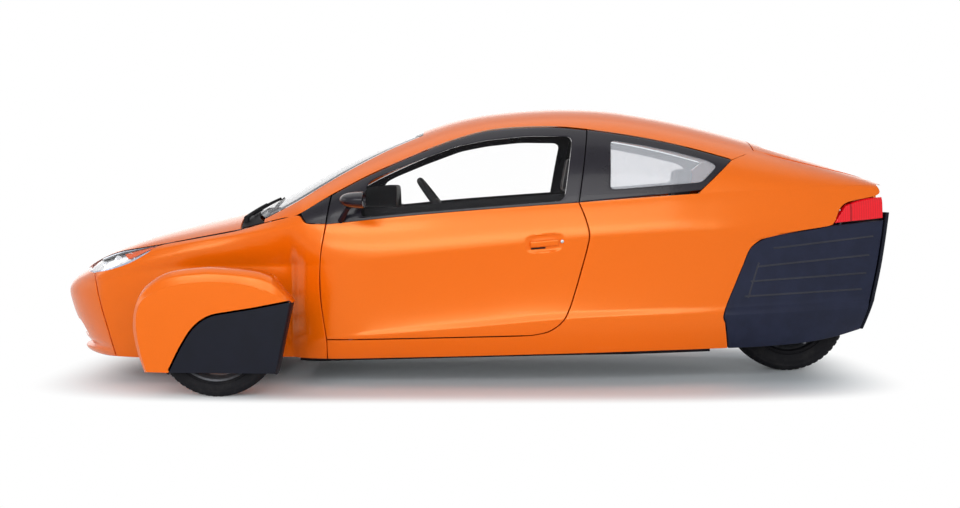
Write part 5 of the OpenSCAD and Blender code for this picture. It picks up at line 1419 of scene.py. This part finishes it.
def cushion(name, size, at, lean, channels, crown):
    """A padded block: crowned on its front face, drawn in at its sewn channels, sides pulled in."""
    obj = primitive("cube", name, size=1.0)
    edited(obj, subdivide={"number_cuts": 15})
    for v in obj.data.vertices:
        x, y, z = v.co.x * 2, v.co.y * 2, v.co.z * 2
        fat = (1 - abs(x) ** 4 * 0.10) * (1 - abs(y) ** 6 * 0.10) * (1 - abs(z) ** 6 * 0.08)
        side = max(0.0, -x)
        seam = sum(math.exp(-((z - k) / SEAM) ** 2) for k in np.linspace(-0.7, 0.7, channels)) * (abs(y) < WELT)
        welt = math.exp(-((abs(y) - WELT) / SEAM) ** 2)
        bolster = max(0.0, abs(y) - WELT) * 0.5
        push = side * (crown * (1 - y * y * 0.5) + bolster * 0.05 - 0.010 * max(seam, welt))
        v.co = Vector((x * size[0] / 2 - push, y * size[1] / 2 * fat, z * size[2] / 2 * fat))
    apply(obj, "SUBSURF", levels=1, render_levels=1)
    obj.data.transform(Matrix.Translation(at) @ Matrix.Rotation(math.radians(lean), 4, "Y"))
    return obj


# Side view of the dashboard through its hooded instrument pod, columns: station x, height z
DASH = [[-770, 560], [-770, 800], [-700, 826], [-640, 838], [-598, 846], [-582, 930], [-566, 956], [-500, 966],
        [-440, 972], [-414, 970], [-408, 948], [-424, 880], [-432, 850], [-426, 760], [-424, 650], [-470, 612],
        [-560, 600]]
# Half width of the dashboard, height of its top beside the pod, half width of the pod
DASH_HALF, DASH_TOP, POD_HALF = 378, 848, 140
# Steering wheel in metres and degrees: radius and thickness of its rim, its place and tilt
STEER_R, STEER_RIM, STEER_AT, STEER_TILT = 0.170, 0.0175, (-0.19, 0, 0.856), -126.7


class CAR_OT_cabin(bpy.types.Operator):
    """Makes the seats, dashboard and steering wheel"""

    bl_idname = "car.cabin"
    bl_label = "Cabin"

    def execute(self, context):
        for node, x0, w, length, back, lean in SEATS:
            k = math.radians(lean)
            foot = Vector((x0 + length - 0.04, 0, SEAT_BASE + 0.09))
            up, back_way = Vector((math.sin(k), 0, math.cos(k))), Vector((math.cos(k), 0, -math.sin(k)))
            neck = foot + back_way * 0.048
            seat = cushion("cushion", (0.14, w - 0.012, length - 0.01), (x0 + length / 2, 0, SEAT_BASE + 0.078),
                           90, 4, 0.016)
            rest = cushion("rest", (0.092, w - 0.03, back - 0.01), foot + back_way * 0.052 + up * (back / 2),
                           lean, 5, 0.018)
            head = cushion("head", (0.064, 0.23, 0.19), neck + up * (back + 0.115), lean, 1, 0.012)
            rods = [tube("rod", [neck + Vector((0, y, 0)) + up * (back + rise) for rise in (-0.05, 0.08)], 0.006)
                    for y in (-0.06, 0.06)]
            whole = joined(node + "_padding", seat, rest, head)
            settle(whole, "chassis", ["seat_cloth"], [node], angle=60)
            settle(joined(node + "_rods", *rods), "chassis", ["steel"])
        # Dashboard, its instrument pod sinking into it towards the sides
        ring = rounded(DASH, 14, 4)
        ring[:, 0] += 6
        stations = np.linspace(-DASH_HALF, DASH_HALF, 61)
        g = np.stack([np.stack([ring[:, 0], np.full(len(ring), y), ring[:, 1]], -1) for y in stations], 1)
        sink = np.clip((np.abs(stations) - POD_HALF) / 50, 0, 1)
        sink = sink * sink * (3 - 2 * sink)
        g[..., 2] -= np.maximum(g[..., 2] - DASH_TOP, 0) * sink[None] * 0.85
        Shell().grid(g, wrap=True).cap(g[:, 0]).cap(g[:, -1], flip=True).piece(
            "dash_skin", "chassis", "black_plastic", ["cabin_plastic"], ["dashboard"], weld=0.1)
        # Steering wheel: leather rim, boss, three spokes and column
        a = np.linspace(0, 2 * np.pi, 72, endpoint=False)
        rim = tube("rim", np.stack([STEER_R * np.cos(a), STEER_R * np.sin(a), 0 * a], -1), STEER_RIM, 16, closed=True)
        boss = primitive("cylinder", "boss", vertices=40, radius=0.052, depth=0.036)
        parts = [rim, bevelled(boss, 0.012, 4, limit_method="ANGLE")]
        for angle in (90, 180, 270):
            c, s = math.cos(math.radians(angle)), math.sin(math.radians(angle))
            parts.append(tube("spoke", [[c * r, s * r, -0.004] for r in np.linspace(0.03, 0.165, 8)],
                              np.linspace(0.02, 0.011, 8), 12))
        parts.append(tube("column", [[0, 0, 0.01], [0, 0, 0.25]], 0.021, 20))
        wheel = joined("wheel_skin", *parts)
        wheel.data.transform(Matrix.Translation(STEER_AT) @ Matrix.Rotation(math.radians(STEER_TILT), 4, "Y"))
        settle(wheel, "chassis", ["seat_bolster"], ["steering_wheel"], angle=40)
        return {"FINISHED"}


# Rings of a mirror's head from its front, columns: distance, half width, half height
MIRROR_RINGS = [[0, 3, 3], [3, 22, 11], [9, 40, 19], [22, 60, 27], [42, 76, 33], [70, 86, 37], [96, 89, 38.5],
                [110, 89, 38.5], [113, 86, 36], [111, 82, 33], [104, 80, 31.5]]
# Front end and middle of the left mirror's head, the foot of its stalk, points round a ring
MIRROR_X, MIRROR_Y, MIRROR_Z, STALK_X, STALK_Z, MIRROR_STEPS = -625.0, -690, 902, -640, 800, 40


class CAR_OT_mirrors(bpy.types.Operator):
    """Makes the door mirrors and the wipers"""

    bl_idname = "car.mirrors"
    bl_label = "Mirrors and wipers"

    def execute(self, context):
        a = -np.linspace(0, 2 * np.pi, MIRROR_STEPS, endpoint=False)
        g = np.stack([np.stack([np.full(MIRROR_STEPS, MIRROR_X + d), MIRROR_Y + np.cos(a) * wide,
                                MIRROR_Z + np.sin(a) * high], -1) for d, wide, high in MIRROR_RINGS], 1)
        foot_y = -float(side_y(np.float64(STALK_X), np.float64(STALK_Z)))
        path = np.array([[STALK_X, foot_y + 6, STALK_Z], [-622, foot_y - 30, 828], [-590, -655, 868],
                         [-565, -640, 880]])
        for side, name, body in ((-1, "left", "door"), (1, "right", "chassis")):
            shell = Shell().grid(g, wrap=True).cap(g[:, 0], flip=True)
            if side > 0:
                shell.only_right()
            head = shell.object("mirror_skin_" + name, WELD)
            stalk = tube("mirror_stalk_" + name, path * [1, -side, 1] * MM, [0.015, 0.013, 0.012, 0.012], 18)
            settle(head, body, ["black_gloss"], ["mirror_" + name], angle=40)
            settle(stalk, body, ["black_plastic"], angle=40)
            glass = primitive("circle", "mirror_pane_" + name, vertices=40, radius=1.0, fill_type="NGON")
            glass.data.transform(Matrix.Translation((-0.52, side * 0.690, 0.902))
                                 @ Matrix.Rotation(math.radians(90), 4, "Y") @ Matrix.Diagonal((0.0315, 0.080, 1, 1)))
            apply(glass, "SOLIDIFY", thickness=0.003)
            settle(glass, body, ["mirror_glass"])
        # Wipers run from a pivot on the cowl up the glass
        arms, t = [], np.linspace(0, 1, 40)
        for side in (-1, 1):
            x, y = -1132 + 120 * t, side * (330 - 280 * t)
            path = np.stack([x, y, height_at(x, y) + 6], -1)
            spine = np.interp(t[6:], [0.15, 0.5, 1], [0.003, 0.006, 0.003])
            arms += [tube("blade", path[8:] * MM, 0.0052, 8), tube("spine", (path[6:] + [-2, 0, 6]) * MM, spine, 8),
                     tube("arm", (path[:24] + [-3, 0, 9]) * MM, np.linspace(0.011, 0.006, 24), 12),
                     primitive("cylinder", "pivot", vertices=24, radius=0.014, depth=0.026, at=path[0] * MM)]
        settle(joined("wiper_skins", *arms), "chassis", ["rubber"], ["wipers"], angle=50)
        return {"FINISHED"}


class CAR_PT_panel(bpy.types.Panel):
    """Lists the car's pieces in the sidebar"""

    bl_idname = "CAR_PT_panel"
    bl_label = "Three-wheeled car"
    bl_space_type = "VIEW_3D"
    bl_region_type = "UI"
    bl_category = "Car"

    def draw(self, context):
        looks = context.scene.car_looks
        for name in CarLooks.__annotations__:
            self.layout.prop(looks, name)
        for op in OPERATORS:
            self.layout.operator(op.bl_idname)


OPERATORS = (CAR_OT_stage, CAR_OT_side_panels, CAR_OT_upper_body, CAR_OT_windows, CAR_OT_door, CAR_OT_lamps,
             CAR_OT_tail, CAR_OT_pods, CAR_OT_wheels, CAR_OT_running_gear, CAR_OT_cabin, CAR_OT_mirrors)
CLASSES = (CarLooks, *OPERATORS, CAR_PT_panel)


def register():
    for c in CLASSES:
        bpy.utils.register_class(c)
    bpy.types.Scene.car_looks = bpy.props.PointerProperty(type=CarLooks)


def unregister():
    del bpy.types.Scene.car_looks
    for c in reversed(CLASSES):
        bpy.utils.unregister_class(c)


def main():
    register()
    for op in OPERATORS:
        group, name = op.bl_idname.split(".")
        getattr(getattr(bpy.ops, group), name)()


if __name__ == "__main__":
    main()
